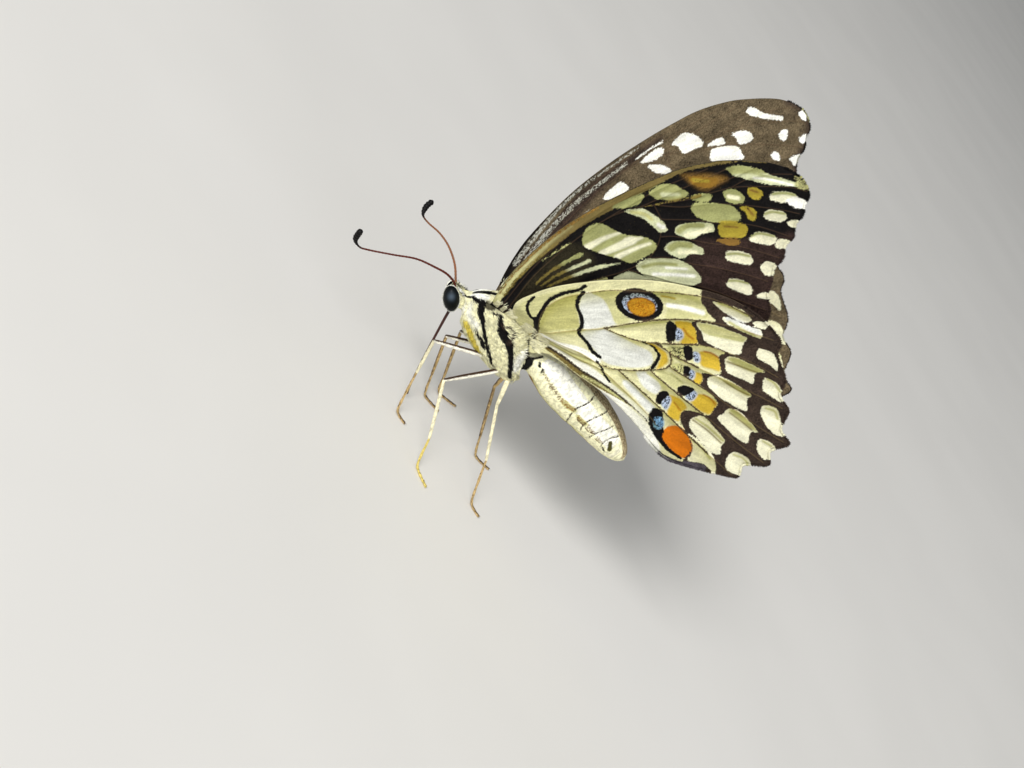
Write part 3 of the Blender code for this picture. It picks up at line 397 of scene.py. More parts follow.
HINDWING_UNDER = marks(
    # Ground between the veins
    (WASH, STRAW, None, [(-10, 34), (2, 16), (16, 9), (36, 10), (80, 32), (82, 43), (63, 52), (48, 68),
     (26, 52), (4, 42)]),
    (WASH, BUTTER, None, [(31, 32), (50, 29), (78, 39), (63, 49), (49, 64), (28, 50), (13, 42)]),
    (WASH, SILVER, None, [(47, 70), (67, 85), (72, 101), (76, 116), (79, 132), (71, 141), (61, 138),
     (42, 120), (36, 106), (39, 94), (42, 82)], [(82, 43), (90, 48), (94, 58), (90, 70), (84, 82),
     (82, 88), (69, 82), (51, 68), (59, 57), (67, 50)]),
    (WASH, STRAW, None, [(90, 48), (108, 62), (104, 74), (93, 84), (93, 94), (80, 87), (86, 74),
     (92, 60)], [(134, 92), (146, 94), (160, 114), (163, 125), (157, 139), (152, 142), (140, 132),
     (122, 117), (133, 108)]),
    (WASH, OLIVE, 0.26, [(136, 90), (148, 102), (158, 118), (159, 126)]),
    (WASH, MUSTARD, 0.14, [(138, 97), (142, 102), (145, 107)]),
    (WASH, WHITE, 0.24, [(134, 108), (144, 121), (153, 136)]),
    (WASH, HINDWING_CREAM, None, [(86, 96), (104, 109), (116, 120), (104, 128), (92, 122), (82, 108)]),
    (WASH, OLIVE, 0.14, [(80, 93), (100, 105), (119, 118)]),
    (WASH, WHITE, None, [(-4, 46), (7, 66), (20, 97), (22, 130), (22, 178), (13, 188), (17, 146),
     (11, 100), (1, 68)]),
    (WASH, WHITE, 0.3, [(6, 46), (17, 64), (29, 82), (33, 102)]),
    (WASH, OLIVE, None, [(3, 48), (10, 61), (19, 79), (28, 97), (22, 99), (13, 84), (7, 71), (3, 58)]),
    (WASH, DEEP_OLIVE, 0.06, [(4, 48), (10, 61), (19, 79), (28, 96)]),
    (WASH, WHITE, None, [(4, 120), (11, 140), (14, 156), (12, 186), (6, 202), (-8, 216), (-4, 180),
     (4, 150)]),
    (MIST, GREY, 0.14, [(2, 166), (-2, 186), (-5, 202), (-6, 216)]),
    (DARK, FOLD_OLIVE, None, [(-4, 51), (1, 67), (7, 85), (11, 101), (14, 116), (16, 132), (17, 147),
     (16, 162), (14, 153), (11, 140), (7, 125), (5, 109), (2, 92), (-2, 75), (-6, 61)]),
    (INK, OLIVE, 0.16, [(6, 104), (10, 118), (13, 134), (15, 150)]),
    (DARK, DARK_BROWN, 0.07, [(-4, 51), (1, 67), (7, 85), (11, 101), (14, 116), (16, 132), (17, 147),
     (16, 162), (15, 179), (11, 192)]),
    (WASH, SILVER, None, [(38, 139), (35, 160), (34, 176), (24, 177), (26, 160), (30, 136)], [(53, 136),
     (62, 151), (57, 164), (46, 167), (44, 150)]),
    (WASH, STRAW, 0.22, [(59, 146), (61, 158), (59, 168)]),
    (MIST, OLIVE, None, [(103, 142), (109, 149), (103, 156), (95, 158), (92, 150), (96, 139)], [(88, 156),
     (93, 162), (89, 169), (84, 166), (81, 156)]),
    (WASH, STRAW, None, [(66, 150), (76, 159), (78, 174), (67, 176), (65, 164)]),
    (MIST, OLIVE, 0.16, [(76, 162), (76, 176)]),
    # Basal lines
    (DARK, BLACK, (0.24, 0.36), [(-16, 52), (-13, 49), (-6, 44), (2, 41), (14, 36), (23, 30)]),
    (DARK, BLACK, (0.2, 0.15), [(23, 30), (21, 24), (25, 17), (30, 13), (37, 12), (42, 12)]),
    (DARK, BLACK, (0.24, 0.17), [(22, 31), (30, 29), (42, 26), (52, 25), (67, 29), (82, 37), (91, 39)]),
    (DARK, BLACK, (0.2, 0.2), [(84, 42), (75, 43), (66, 48), (63, 53), (60, 58), (53, 65), (44, 68),
     (42, 75), (40, 84), (37, 91), (37, 101)]),
    (DARK, BLACK, (0.12, 0.16), [(31, 102), (29, 109), (24, 119), (22, 126)]),
    # Eyespots
    (DARK, BLACK, None, EYESPOT),
    (MIST, BLUE, None, EYESPOT_RIM),
    (SPOT, AMBER, None, EYESPOT_CENTRE),
    (INK, AMBER, None, EYESPOT_CENTRE),
    (MIST, EYESPOT_GOLD, None, EYESPOT_CENTRE),
    (DARK, BLACK, None, [(120, 119), (124, 125), (119, 133), (110, 138), (102, 135), (107, 128)],
     [(110, 148), (116, 153), (112, 159), (106, 164), (100, 161), (103, 155)], [(93, 164), (96, 170),
     (88, 176), (86, 169)], [(69, 176), (76, 180), (80, 189), (72, 192), (66, 187), (65, 180)],
     [(48, 168), (56, 170), (56, 176), (41, 178), (40, 172)], [(22, 178), (32, 177), (36, 183), (30, 190),
     (16, 203), (10, 208), (7, 204), (9, 192), (15, 184)]),
    (DARK, DARK_BROWN, None, HINDWING_DARK),
    (WASH, YELLOW, None, [(126, 124), (137, 136), (132, 146), (125, 155), (118, 151), (111, 145),
     (118, 136)], [(117, 163), (124, 172), (125, 182), (116, 191), (112, 185), (107, 174)]),
    (WASH, AMBER, 0.12, [(121, 166), (125, 172), (126, 180)]),
    (WASH, YELLOW, None, [(95, 176), (99, 182), (90, 189), (87, 181)], [(68, 194), (81, 197), (86, 212),
     (80, 217), (69, 218), (65, 205)]),
    (WASH, AMBER, 0.1, [(82, 199), (84, 206), (82, 214)]),
    (WASH, YELLOW, None, [(55, 176), (61, 186), (58, 198), (48, 199), (39, 203), (37, 190), (50, 183)]),
    (MIST, AMBER, 0.1, [(125, 135), (123, 142), (124, 149)]),
    (MIST, AMBER, 0.08, [(52, 186), (49, 196)]),
    (MIST, BLUE, None, [(118, 130), (122, 132), (121, 139), (116, 142), (110, 139)], [(112, 159),
     (115, 164), (109, 171), (105, 167)], [(93, 170), (96, 175), (90, 180), (86, 177)], [(66, 188),
     (78, 189), (77, 195), (68, 196)], [(42, 177), (54, 176), (52, 182), (40, 186)]),
    (MIST, TORNAL_BLUE, None, [(23, 183), (29, 189), (23, 197), (14, 198), (13, 191)]),
    (SPOT, PALE_CREAM, None, *HINDWING_OUTER_SPOTS, *HINDWING_MARGIN_SPOTS),
    # Olive upper halves and folds of the outer spots: partly olive scales, partly painted shade on the
    # face of each pleat that turns down
    (WASH, OLIVE, 0.22, [(174, 139), (181, 154), (184, 166)]),
    (WASH, SILVER, 0.3, [(167, 156), (172, 170), (177, 186)]),
    (WASH, OLIVE, 0.13, [(165, 160), (169, 176), (172, 186)]),
    (WASH, STRAW, None, [(141, 141), (152, 155), (160, 171), (164, 184), (158, 182), (151, 172),
     (143, 160), (136, 152)]),
    (WASH, OLIVE, (0.12, 0.26), [(139, 156), (149, 170), (158, 182)]),
    (WASH, OLIVE, None, [(132, 187), (139, 191), (144, 204), (148, 219), (139, 214), (134, 203)]),
    (WASH, DEEP_OLIVE, 0.1, [(129, 189), (135, 202), (142, 216)]),
    (WASH, OLIVE, None, [(109, 194), (115, 204), (118, 220), (119, 230), (114, 228), (111, 214)]),
    (WASH, DEEP_OLIVE, 0.1, [(110, 202), (112, 215), (116, 228)]),
    (WASH, OLIVE, None, [(88, 228), (94, 232), (93, 249), (90, 262), (88, 255), (88, 242)]),
    (WASH, DEEP_OLIVE, 0.09, [(86, 230), (87, 247), (87, 258)]),
    (WASH, OLIVE, 0.16, [(54, 213), (56, 229), (55, 248)]),
    (WASH, DEEP_OLIVE, 0.09, [(50, 212), (52, 229), (51, 249)]),
    (WASH, OLIVE, 0.16, [(33, 224), (33, 240), (29, 254)]),
    (WASH, OLIVE, 0.13, [(144, 228), (145, 236), (142, 244)], [(117, 250), (121, 258), (116, 266)]),
    (WASH, OLIVE, 0.12, [(85, 275), (87, 284)], [(50, 267), (54, 276), (53, 284)]),
    # Tornus
    (DARK, BLACK, (0.3, 0.2), [(10, 196), (6, 206), (3, 220), (5, 234)]),
    (DARK, VIOLET_GREY, (0.1, 0.3), [(-7, 210), (-6, 224), (0, 238), (8, 248), (14, 256)]),
    (SPOT, ORANGE, None, TORNAL_ORANGE),
    # Fine dark lines beside the veins
    (DARK, DARK_BROWN, (0.06, 0.1), HINDWING_VEINS["radius"][3:8]),
    (DARK, DARK_BROWN, (0.05, 0.12), HINDWING_VEINS["media_1"][:4]),
    (DARK, DARK_BROWN, 0.1, HINDWING_VEINS["media_2"][:2]),
    (DARK, DARK_BROWN, (0.08, 0.11), HINDWING_VEINS["media_3"][:3], HINDWING_VEINS["cubitus_1"][:3]),
    (DARK, DARK_BROWN, (0.07, 0.11), HINDWING_VEINS["cubitus_2"][:4]),
    (DARK, DARK_BROWN, (0.05, 0.09), HINDWING_VEINS["cubitus"][3:]),
    (DARK, DARK_BROWN, (0.02, 0.07), HINDWING_VEINS["subcosta"][4:8]),
    (DARK, BLACK, (0.1, 0.22), [(84, 119), (86, 129), (83, 139), (74, 143), (67, 144)]),
    (WASH, YELLOW, None, [(86, 120), (91, 132), (90, 144), (82, 151), (70, 148), (76, 145), (85, 139)]))

HINDWING_UPPER = marks(
    (SPOT, CREAM, None, [(86, 46), (116, 66), (134, 90), (124, 106), (120, 122), (106, 140), (86, 156),
     (66, 166), (42, 170), (24, 164), (24, 130), (34, 96), (50, 70)]),
    (DARK, BLACK, None, EYESPOT),
    (SPOT, BLUE, 0.14, [(122, 98), (115, 87), (107, 86), (103, 92)]),
    (SPOT, ORANGE, None, TORNAL_ORANGE),
    (SPOT, CREAM, None, *HINDWING_OUTER_SPOTS, *HINDWING_MARGIN_SPOTS))


def smooth_path(points, step, closed=False):
    """Stations about a step apart on a smooth curve through the points."""
    points = np.asarray(points, float)
    if closed:
        points = np.vstack([points[-1], points, points[:2]])
    else:
        points = np.vstack([2 * points[0] - points[1], points, 2 * points[-1] - points[-2]])
    stations = []
    for before, start, end, after in zip(points, points[1:], points[2:], points[3:]):
        pieces = max(1, round(np.linalg.norm(end - start) / step))
        t = (np.arange(pieces) / pieces)[:, None]
        stations.append(0.5 * (2 * start + (end - before) * t
                               + (2 * before - 5 * start + 4 * end - after) * t ** 2
                               + (3 * start - before - 3 * end + after) * t ** 3))
    if not closed:
        stations.append(points[-2:-1])
    return np.vstack(stations)


def distance_to_line(places, line):
    """How far each place is from a line through the stations, in two or three dimensions."""
    nearest = np.full(len(places), np.inf)
    for start, end in zip(line[:-1], line[1:]):
        along = end - start
        share = np.clip((places - start) @ along / max(along @ along, 1e-12), 0.0, 1.0)
        gap = places - start - share[:, None] * along
        nearest = np.minimum(nearest, np.einsum("ij,ij->i", gap, gap))
    return np.sqrt(nearest)


def line_depth(places, line, half_width):
    """How deep each flat place lies inside a line, whose half width may go from one to another."""
    first, last = np.broadcast_to(half_width, 2)
    depth = np.full(len(places), -np.inf)
    for start, end, half in zip(line[:-1], line[1:], np.linspace(first, last, len(line) - 1)):
        depth = np.maximum(depth, half - distance_to_line(places, np.array([start, end])))
    return depth


def depth_inside(places, loop):
    """How deep each flat place lies inside a closed loop, negative outside it."""
    ends = np.roll(loop, -1, axis=0)
    inside = np.zeros(len(places), bool)
    for start, end in zip(loop, ends):
        spans = (start[1] > places[:, 1]) != (end[1] > places[:, 1])
        rise = end[1] - start[1]
        crossing = start[0] + (places[:, 1] - start[1]) * (end[0] - start[0]) / (rise or 1.0)
        inside ^= spans & (places[:, 0] < crossing)
    depth = distance_to_line(places, np.vstack([loop, loop[:1]]))
    return np.where(inside, depth, -depth)


def ease(t):
    """A smooth rise from 0 to 1."""
    t = np.clip(t, 0.0, 1.0)
    return t * t * (3 - 2 * t)


def unit(vectors):
    """Vectors brought to a length of one."""
    vectors = np.asarray(vectors, float)
    return vectors / np.maximum(np.linalg.norm(vectors, axis=-1, keepdims=True), 1e-9)


def paint(places, drawn, edge, tint, ink):
    """Pattern at each place: depth inside the dark, the pale colour and the dark colour.

    A spot or a dark mark has a sharp edge, a wash only tints the pale scales and an ink only the
    dark ones, a soft one fades in from its edge, and a mist sprinkles pale scales of its colour
    among dark ones.
    """
    edge = np.full(len(places), float(edge))
    tint = np.tile(np.array(tint, float), (len(places), 1))
    ink = np.tile(np.array(ink, float), (len(places), 1))
    for kind, colour, half_width, points in drawn:
        path = smooth_path(points, MARK_STEP, closed=half_width is None)
        low = path.min(axis=0) - MARK_MARGIN
        high = path.max(axis=0) + MARK_MARGIN
        near = np.flatnonzero(((places > low) & (places < high)).all(axis=1))
        if half_width is None:
            depth = depth_inside(places[near], path)
        else:
            depth = line_depth(places[near], path, half_width)
        if kind in (SPOT, DARK):
            share = ease((depth + MARK_SPILL) / SPILL_BLEND)
        elif kind in (SOFT_WASH, SOFT_INK):
            share = ease(depth / SOFT_REACH)
        else:
            share = ease(depth / WASH_BLEND + 0.5)
        if kind == SPOT:
            edge[near] = np.minimum(edge[near], -depth)
        elif kind == DARK:
            edge[near] = np.maximum(edge[near], depth)
        elif kind == MIST:
            edge[near] += share * (MIST_LEVEL - edge[near])
        layer = ink if kind in (DARK, INK, SOFT_INK) else tint
        layer[near] += share[:, None] * (np.array(colour) - layer[near])
    return {"edge": edge, "tint": tint, "ink": ink}


def add_object(name, data):
    """A new object in the scene."""
    item = bpy.data.objects.new(name, data)
    bpy.context.scene.collection.objects.link(item)
    return item


def make_piece(name, points, faces, material, replaced, layers, uv=None):
    """A smooth mesh from points in millimetres, with its colours and distances as attributes."""
    mesh = bpy.data.meshes.new(name)
    mesh.from_pydata((np.asarray(points) * MM).tolist(), [], [list(face) for face in faces])
    mesh.polygons.foreach_set("use_smooth", np.ones(len(mesh.polygons), bool))
    for key, values in layers.items():
        values = np.asarray(values, float)
        if values.ndim == 1:
            kind, field = "FLOAT", "value"
        elif key in ("place", "ray"):
            kind, field = "FLOAT_VECTOR", "vector"
        else:
            kind, field = "FLOAT_COLOR", "color"
            values = np.hstack([values, np.ones((len(values), 1))])
        mesh.attributes.new(key, kind, "POINT").data.foreach_set(field, values.ravel())
    if uv is not None:
        corners = np.zeros(len(mesh.loops), np.int32)
        mesh.loops.foreach_get("vertex_index", corners)
        mesh.uv_layers.new(name="OFBake").data.foreach_set("uv", np.asarray(uv)[corners].ravel())
    mesh.materials.append(material)
    piece = add_object(name, mesh)
    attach(piece, BODY)
    if replaced:
        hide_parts(*replaced)


def join_parts(parts):
    """One set of points, faces and layers from several."""
    points, faces, layers, start = [], [], {}, 0
    for part_points, part_faces, part_layers in parts:
        points.append(part_points)
        faces += [tuple(corner + start for corner in face) for face in part_faces]
        start += len(part_points)
        for key, values in part_layers.items():
            layers.setdefault(key, []).append(values)
    return np.vstack(points), faces, {key: np.concatenate(v) for key, v in layers.items()}


# Materials

NODE_SETTINGS = ("operation", "data_type", "attribute_name", "feature", "interpolation_type")


class Nodes:
    """Short names for building a material's node tree."""

    def __init__(self, name):
        self.material = bpy.data.materials.new(name)
        self.material.use_nodes = True
        self.tree = self.material.node_tree
        self.shader = self.tree.nodes["Principled BSDF"]

    def add(self, kind, **inputs):
        """A new node. Its inputs are set by name, or by number as i0, i1 and so on."""
        node = self.tree.nodes.new("ShaderNode" + kind)
        for key, value in inputs.items():
            self.set(node, key, value)
        return node

    def set(self, node, key, value):
        """Sets a property or an input of a node, or links a socket to it."""
        if key in NODE_SETTINGS:
            setattr(node, key, value)
            return
        socket = node.inputs[int(key[1:]) if key[1:].isdigit() else key.replace("_", " ")]
        if isinstance(value, bpy.types.NodeSocket):
            self.tree.links.new(value, socket)
        elif isinstance(value, tuple) and socket.type == "RGBA":
            socket.default_value = (*value, 1.0)
        else:
            socket.default_value = value

    def layer(self, name):
        """The outputs that read one of the piece's layers."""
        return self.add("Attribute", attribute_name=name).outputs

    def math(self, operation, first, second=0.0, third=0.0):
        return self.add("Math", operation=operation, i0=first, i1=second, i2=third).outputs[0]

    def scaled(self, vector, factors):
        return self.add("VectorMath", operation="MULTIPLY", i0=vector, i1=factors).outputs[0]

    def noise(self, vector, scale, detail=2.0, roughness=0.5):
        return self.add("TexNoise", Vector=vector, Scale=scale, Detail=detail,
                        Roughness=roughness).outputs["Fac"]

    def cells(self, vector, scale, feature="F1"):
        return self.add("TexVoronoi", feature=feature, Vector=vector, Scale=scale).outputs

    def span(self, value, low, high, start=0.0, end=1.0):
        """Eases the value from start to end as it goes from low to high."""
        return self.add("MapRange", interpolation_type="SMOOTHSTEP", i0=value, i1=low, i2=high,
                        i3=start, i4=end).outputs[0]

    def mix(self, share, first, second):
        return self.add("Mix", data_type="RGBA", i0=share, i6=first, i7=second).outputs[2]

    def brighten(self, colour, factor):
        return self.add("HueSaturation", Color=colour, Value=factor).outputs[0]

    def bump(self, height, strength, distance, normal=None):
        node = self.add("Bump", Strength=strength, Distance=distance * MM, Height=height)
        if normal:
            self.set(node, "Normal", normal)
        return node.outputs[0]

    def finish(self, **inputs):
        """Sets the shader's inputs and gives the material."""
        for key, value in inputs.items():
            self.set(self.shader, key, value)
        return self.material


def wing_material(name, vein_colour, vein_on_pale, vein_on_dark):
    """Scaled membrane: dark and pale scales meet along the marks, and veins show as lines."""
    nodes = Nodes(name)
    place = nodes.layer("place")["Vector"]
    scales = nodes.cells(nodes.scaled(place, (1.0, 1.7, 1.0)), WING_CELLS)
    chance = nodes.add("SeparateColor", Color=scales["Color"]).outputs
    broad = nodes.noise(place, 0.9, 3.0)
    fine = nodes.noise(place, 6.0, 3.0, 0.6)
    streak = nodes.noise(nodes.layer("ray")["Vector"], 1.0, 3.0, 0.55)
    jitter = nodes.math("MULTIPLY_ADD", chance[0], SCALE_STRAY, -SCALE_STRAY / 2)
    jitter = nodes.math("MULTIPLY_ADD", fine, FINE_STRAY, nodes.math("SUBTRACT", jitter, FINE_STRAY / 2))
    edge = nodes.math("ADD", nodes.layer("edge")["Fac"], jitter)
    dark = nodes.span(edge, -EDGE_SOFTNESS, EDGE_SOFTNESS)
    streaks = nodes.span(streak, 0.3, 0.7, 0.84, 1.06)
    pale_tone = nodes.math("MULTIPLY_ADD", chance[1], 0.24, nodes.span(broad, 0.3, 0.7, 0.82, 0.94))
    pale_tone = nodes.math("MULTIPLY", pale_tone, streaks)
    dark_tone = nodes.math("MULTIPLY_ADD", chance[2], 1.1, nodes.span(broad, 0.3, 0.7, 0.3, 0.8))
    dark_tone = nodes.math("MULTIPLY", dark_tone, streaks)
    pale = nodes.brighten(nodes.layer("tint")["Color"], pale_tone)
    ink = nodes.brighten(nodes.layer("ink")["Color"], dark_tone)
    colour = nodes.mix(dark, pale, ink)
    vein = nodes.span(nodes.layer("vein")["Fac"], *VEIN_LINE, 1.0, 0.0)
    vein = nodes.math("MULTIPLY", vein, nodes.span(dark, 0.0, 1.0, vein_on_pale, vein_on_dark))
    colour = nodes.mix(vein, colour, vein_colour)
    roughness = nodes.math("MULTIPLY_ADD", fine, 0.2, nodes.math("MULTIPLY_ADD", dark, 0.1, 0.55))
    normal = nodes.bump(scales["Distance"], 0.4, 0.035)
    normal = nodes.bump(streak, 0.35, 0.12, normal)
    normal = nodes.bump(broad, 0.25, 0.12, normal)
    return nodes.finish(Base_Color=colour, Roughness=roughness, Normal=normal,
                        Specular_IOR_Level=0.1)


def ring_material(name, roughness, scale, level=0.35):
    """Painted cuticle: the piece's own tint, varied finely and roughened."""
    nodes = Nodes(name)
    place = nodes.layer("place")["Vector"]
    scales = nodes.cells(place, scale)
    fine = nodes.noise(place, scale * 0.6, 3.0, 0.6)
    broad = nodes.noise(place, 0.8, 2.0)
    tone = nodes.math("MULTIPLY_ADD", fine, 0.3, 0.85)
    tone = nodes.math("MULTIPLY", tone, nodes.span(broad, 0.3, 0.7, 0.88, 1.08))
    colour = nodes.brighten(nodes.layer("tint")["Color"], tone)
    rough = nodes.math("MULTIPLY_ADD", fine, 0.25, roughness - 0.12)
    normal = nodes.bump(scales["Distance"], 0.25, 0.05)
    return nodes.finish(Base_Color=colour, Roughness=rough, Normal=normal, Specular_IOR_Level=level)


# Wings

def wing_place(flat, away, side):
    """Where points of a wing are, from along and across it and out from it."""
    out = np.array([0.0, side, 0.0])
    up = np.array([-math.sin(BODY_PITCH), 0.0, math.cos(BODY_PITCH)])
    back = np.array([math.cos(BODY_PITCH), 0.0, math.sin(BODY_PITCH)])
    along = up * math.cos(WING_SPREAD) + out * math.sin(WING_SPREAD)
    outward = out * math.cos(WING_SPREAD) - up * math.sin(WING_SPREAD)
    hinge = HINGE + BODY_SHIFT + out * HINGE_HALF_WIDTH
    return hinge + flat[:, :1] * along + flat[:, 1:] * back + np.asarray(away)[:, None] * outward


def apart(candidates, kept, gap):
    """The candidates that stay a gap away from the kept points and from one another."""
    tree = KDTree(len(kept) + len(candidates))
    for index, point in enumerate(kept):
        tree.insert((point[0], point[1], 0.0), index)
    tree.balance()
    free = []
    grid = {}
    for point in candidates:
        if tree.find((point[0], point[1], 0.0))[2] < gap:
            continue
        column, row = int(point[0] // gap), int(point[1] // gap)
        around = [other for i in (-1, 0, 1) for j in (-1, 0, 1)
                  for other in grid.get((column + i, row + j), ())]
        if all((point[0] - o[0]) ** 2 + (point[1] - o[1]) ** 2 > gap * gap for o in around):
            grid.setdefault((column, row), []).append(point)
            free.append(point)
    return np.array(free)


def wing_layout(outline, vein_points):
    """Flat triangles over a wing, with rows of points along the rim and the veins."""
    rim = smooth_path(tenths(outline), RIM_STEP, closed=True)
    veins = [smooth_path(tenths(points), VEIN_STEP) for points in vein_points.values()]
    spots, edges = [rim], []
    count = len(rim)
    for vein in veins:
        inside = vein[depth_inside(vein, rim) > VEIN_INSET]
        spots.append(inside)
        edges += [(count + k, count + k + 1) for k in range(len(inside) - 1)]
        count += len(inside)
    spots = np.vstack(spots)
    beside = []
    for vein in veins:
        heading = unit(np.gradient(vein, axis=0))
        across = np.stack([-heading[:, 1], heading[:, 0]], axis=1)
        beside += [vein + side * across for width in VEIN_SIDES for side in (width, -width)]
    beside = apart(np.vstack(beside), spots, VEIN_SIDES[0] * 0.9)
    beside = beside[depth_inside(beside, rim) > SIDE_ROW_INSET]
    low, high = rim.min(axis=0), rim.max(axis=0)
    rows = np.arange(low[1], high[1], WING_SPACING * math.sqrt(0.75))
    columns = np.arange(low[0], high[0], WING_SPACING)
    lattice = np.array([(x + WING_SPACING / 2 * (k % 2), y) for k, y in enumerate(rows)
                        for x in columns])
    lattice = lattice[depth_inside(lattice, rim) > RIM_INSET]
    to_vein = np.min([distance_to_line(lattice, vein) for vein in veins], axis=0)
    lattice = lattice[to_vein > VEIN_CLEARANCE]
    spots = np.vstack([spots, beside, lattice])
    spots, _, triangles, _, _, _ = delaunay_2d_cdt(
        [Vector(spot) for spot in spots], edges, [list(range(len(rim)))], 1, 1e-4)
    return np.array(spots, float), [tuple(t) for t in triangles], veins


def rim_edges(triangles):
    """The directed edges that only one triangle has."""
    edges = {(t[i], t[(i + 1) % 3]) for t in triangles for i in range(3)}
    return [(a, b) for a, b in edges if (b, a) not in edges]


# Corners of a blade's faces: three points at its root, three at its middle and its tip
BLADE_FACES = np.array([(0, 2, 1), (0, 1, 4), (0, 4, 3), (1, 2, 5), (1, 5, 4), (2, 0, 3), (2, 3, 5),
                        (3, 4, 6), (4, 5, 6), (5, 3, 6)])
BLADE_POINTS = 7
BLADE_MIDDLE = 0.55


def per_blade(values):
    """Each blade's value, once for each of its points."""
    return np.repeat(values, BLADE_POINTS, axis=0)


def blades(roots, headings, normals, lengths, width, thickness, waist, curl):
    """Closed three-sided blades that bend towards the surface and end in a point."""
    headings = unit(headings)
    sides = unit(np.cross(headings, normals))
    tops = np.cross(sides, headings)
    lengths = np.broadcast_to(lengths, len(roots))[:, None]
    widths = np.broadcast_to(width, len(roots))[:, None]
    middle = roots + headings * lengths * BLADE_MIDDLE
    tip = roots + headings * lengths - tops * lengths * curl
    high = tops * widths * thickness
    points = np.stack([
        roots - sides * widths * waist / 2, roots + sides * widths * waist / 2, roots + high,
        middle - sides * widths / 2, middle + sides * widths / 2, middle + high,
        tip], axis=1)
    starts = np.arange(len(roots))[:, None, None] * BLADE_POINTS
    return points.reshape(-1, 3), (BLADE_FACES + starts).reshape(-1, 3).tolist()


def even_layers(count, edge, tint, ink):
    """Layers with the same two colours at every point."""
    return {"edge": np.full(count, edge), "tint": np.tile(tint, (count, 1)),
            "ink": np.tile(ink, (count, 1))}


def wing_offset(flat, look):
    """How far out a wing lies at flat places, bent in to the body at its root."""
    free = np.maximum(flat[:, 0], (flat[:, 1] - HINDWING_FREE) / 2)
    sunk = ROOT_SINK * ease((ROOT_END - free) / (ROOT_END - ROOT_START))
    return look["offset"] * ease(free / HINDWING_STEP) - sunk


def rays(flat, face):
    """Places turned so that they change slowly out from the wing's root and fast across."""
    along, across = (flat - RAY_CENTRE).T
    turns = np.arctan2(across, along) * RAY_COUNT
    return np.stack([turns, np.hypot(across, along) * RAY_STRETCH, np.full(len(flat), face)], axis=1)


def lifted(flat, height):
    """Flat places as places in space, all at one height."""
    return np.hstack([flat, np.full((len(flat), 1), height)])


def wing_normals(side, count):
    """The direction straight out of a wing's outer face, a number of times."""
    normal = wing_place(np.zeros((1, 2)), [1.0], side) - wing_place(np.zeros((1, 2)), [0.0], side)
    return np.repeat(normal, count, axis=0)


def cell_shade(flat, veins, to_veins):
    """How deep each place lies in the shade beside the vein in front of it."""
    order = np.argsort(to_veins, axis=0)
    behind = np.zeros(len(flat), bool)
    for index, vein in enumerate(veins):
        mine = np.flatnonzero(order[0] == index)
        gaps = flat[mine][:, None] - vein[None, :-1]
        nearest = np.einsum("mkd,mkd->mk", gaps, gaps).argmin(axis=1)
        heading = np.diff(vein, axis=0)[nearest]
        gap = gaps[np.arange(len(mine)), nearest]
        behind[mine] = heading[:, 0] * gap[:, 1] - heading[:, 1] * gap[:, 0] > 0
    near = np.take_along_axis(to_veins, order[:2], axis=0)
    share = near[0] / (near.sum(axis=0) + 1e-6)
    share = np.where(behind, share, 1.0 - share)
    return ease(1.0 - share / SHADE_REACH)


def make_fringe(look, side, random):
    """Rows of scales along the outer margin, coloured as the wing is where they are rooted."""
    path = smooth_path(tenths(look["margin"]), FRINGE_STEP)
    heading = unit(np.gradient(path, axis=0))
    outward = np.stack([heading[:, 1], -heading[:, 0]], axis=1)
    colours = paint(path - outward * FRINGE_INSET, look["under"], *look["under_ground"])
    count = len(path)
    parts = []
    for row, (reach, rise) in enumerate(FRINGE_ROWS):
        away = np.full(count, look["offset"] + rise)
        turned = unit(outward + heading * random.normal(0.0, 0.16, count)[:, None])
        roots = wing_place(path - outward * FRINGE_ROOT, away, side)
        tips = wing_place(path + turned, away, side)
        lengths = reach * random.uniform(0.75, 1.1, count)
        points, faces = blades(roots, tips - roots, wing_normals(side, count), lengths, width=0.11,
                               thickness=0.22, waist=0.8, curl=0.0)
        layers = {key: per_blade(values) for key, values in colours.items()}
        layers["vein"] = np.full(len(points), 1.0)
        layers["ray"] = per_blade(rays(path, FRINGE_HEIGHT))
        layers["place"] = lifted(per_blade(path), FRINGE_HEIGHT + row)
        parts.append((points, faces, layers))
    return parts


def make_tufts(look, side, random):
    """Cream hairs that lie along the root of a wing and hide where it meets the body."""
    low, high = look["root"]
    flat = random.uniform(low, high, (ROOT_HAIRS, 2))
    heading = np.array(look["hair_heading"]) + random.normal(0.0, 0.2, (ROOT_HAIRS, 2))
    away = wing_offset(flat, look) + MEMBRANE_HALF
    roots = wing_place(flat, away, side)
    tips = wing_place(flat + heading, away + ROOT_HAIR_LIFT, side)
    points, faces = blades(roots, tips - roots, wing_normals(side, ROOT_HAIRS),
                           random.uniform(0.5, 1.0, ROOT_HAIRS), width=0.07, thickness=0.3,
                           waist=0.7, curl=0.2)
    layers = even_layers(len(points), -0.5, CREAM, DARK_BROWN)
    layers["vein"] = np.full(len(points), 1.0)
    layers["ray"] = per_blade(rays(flat, HAIR_HEIGHT))
    layers["place"] = lifted(per_blade(flat), HAIR_HEIGHT)
    return [(points, faces, layers)]


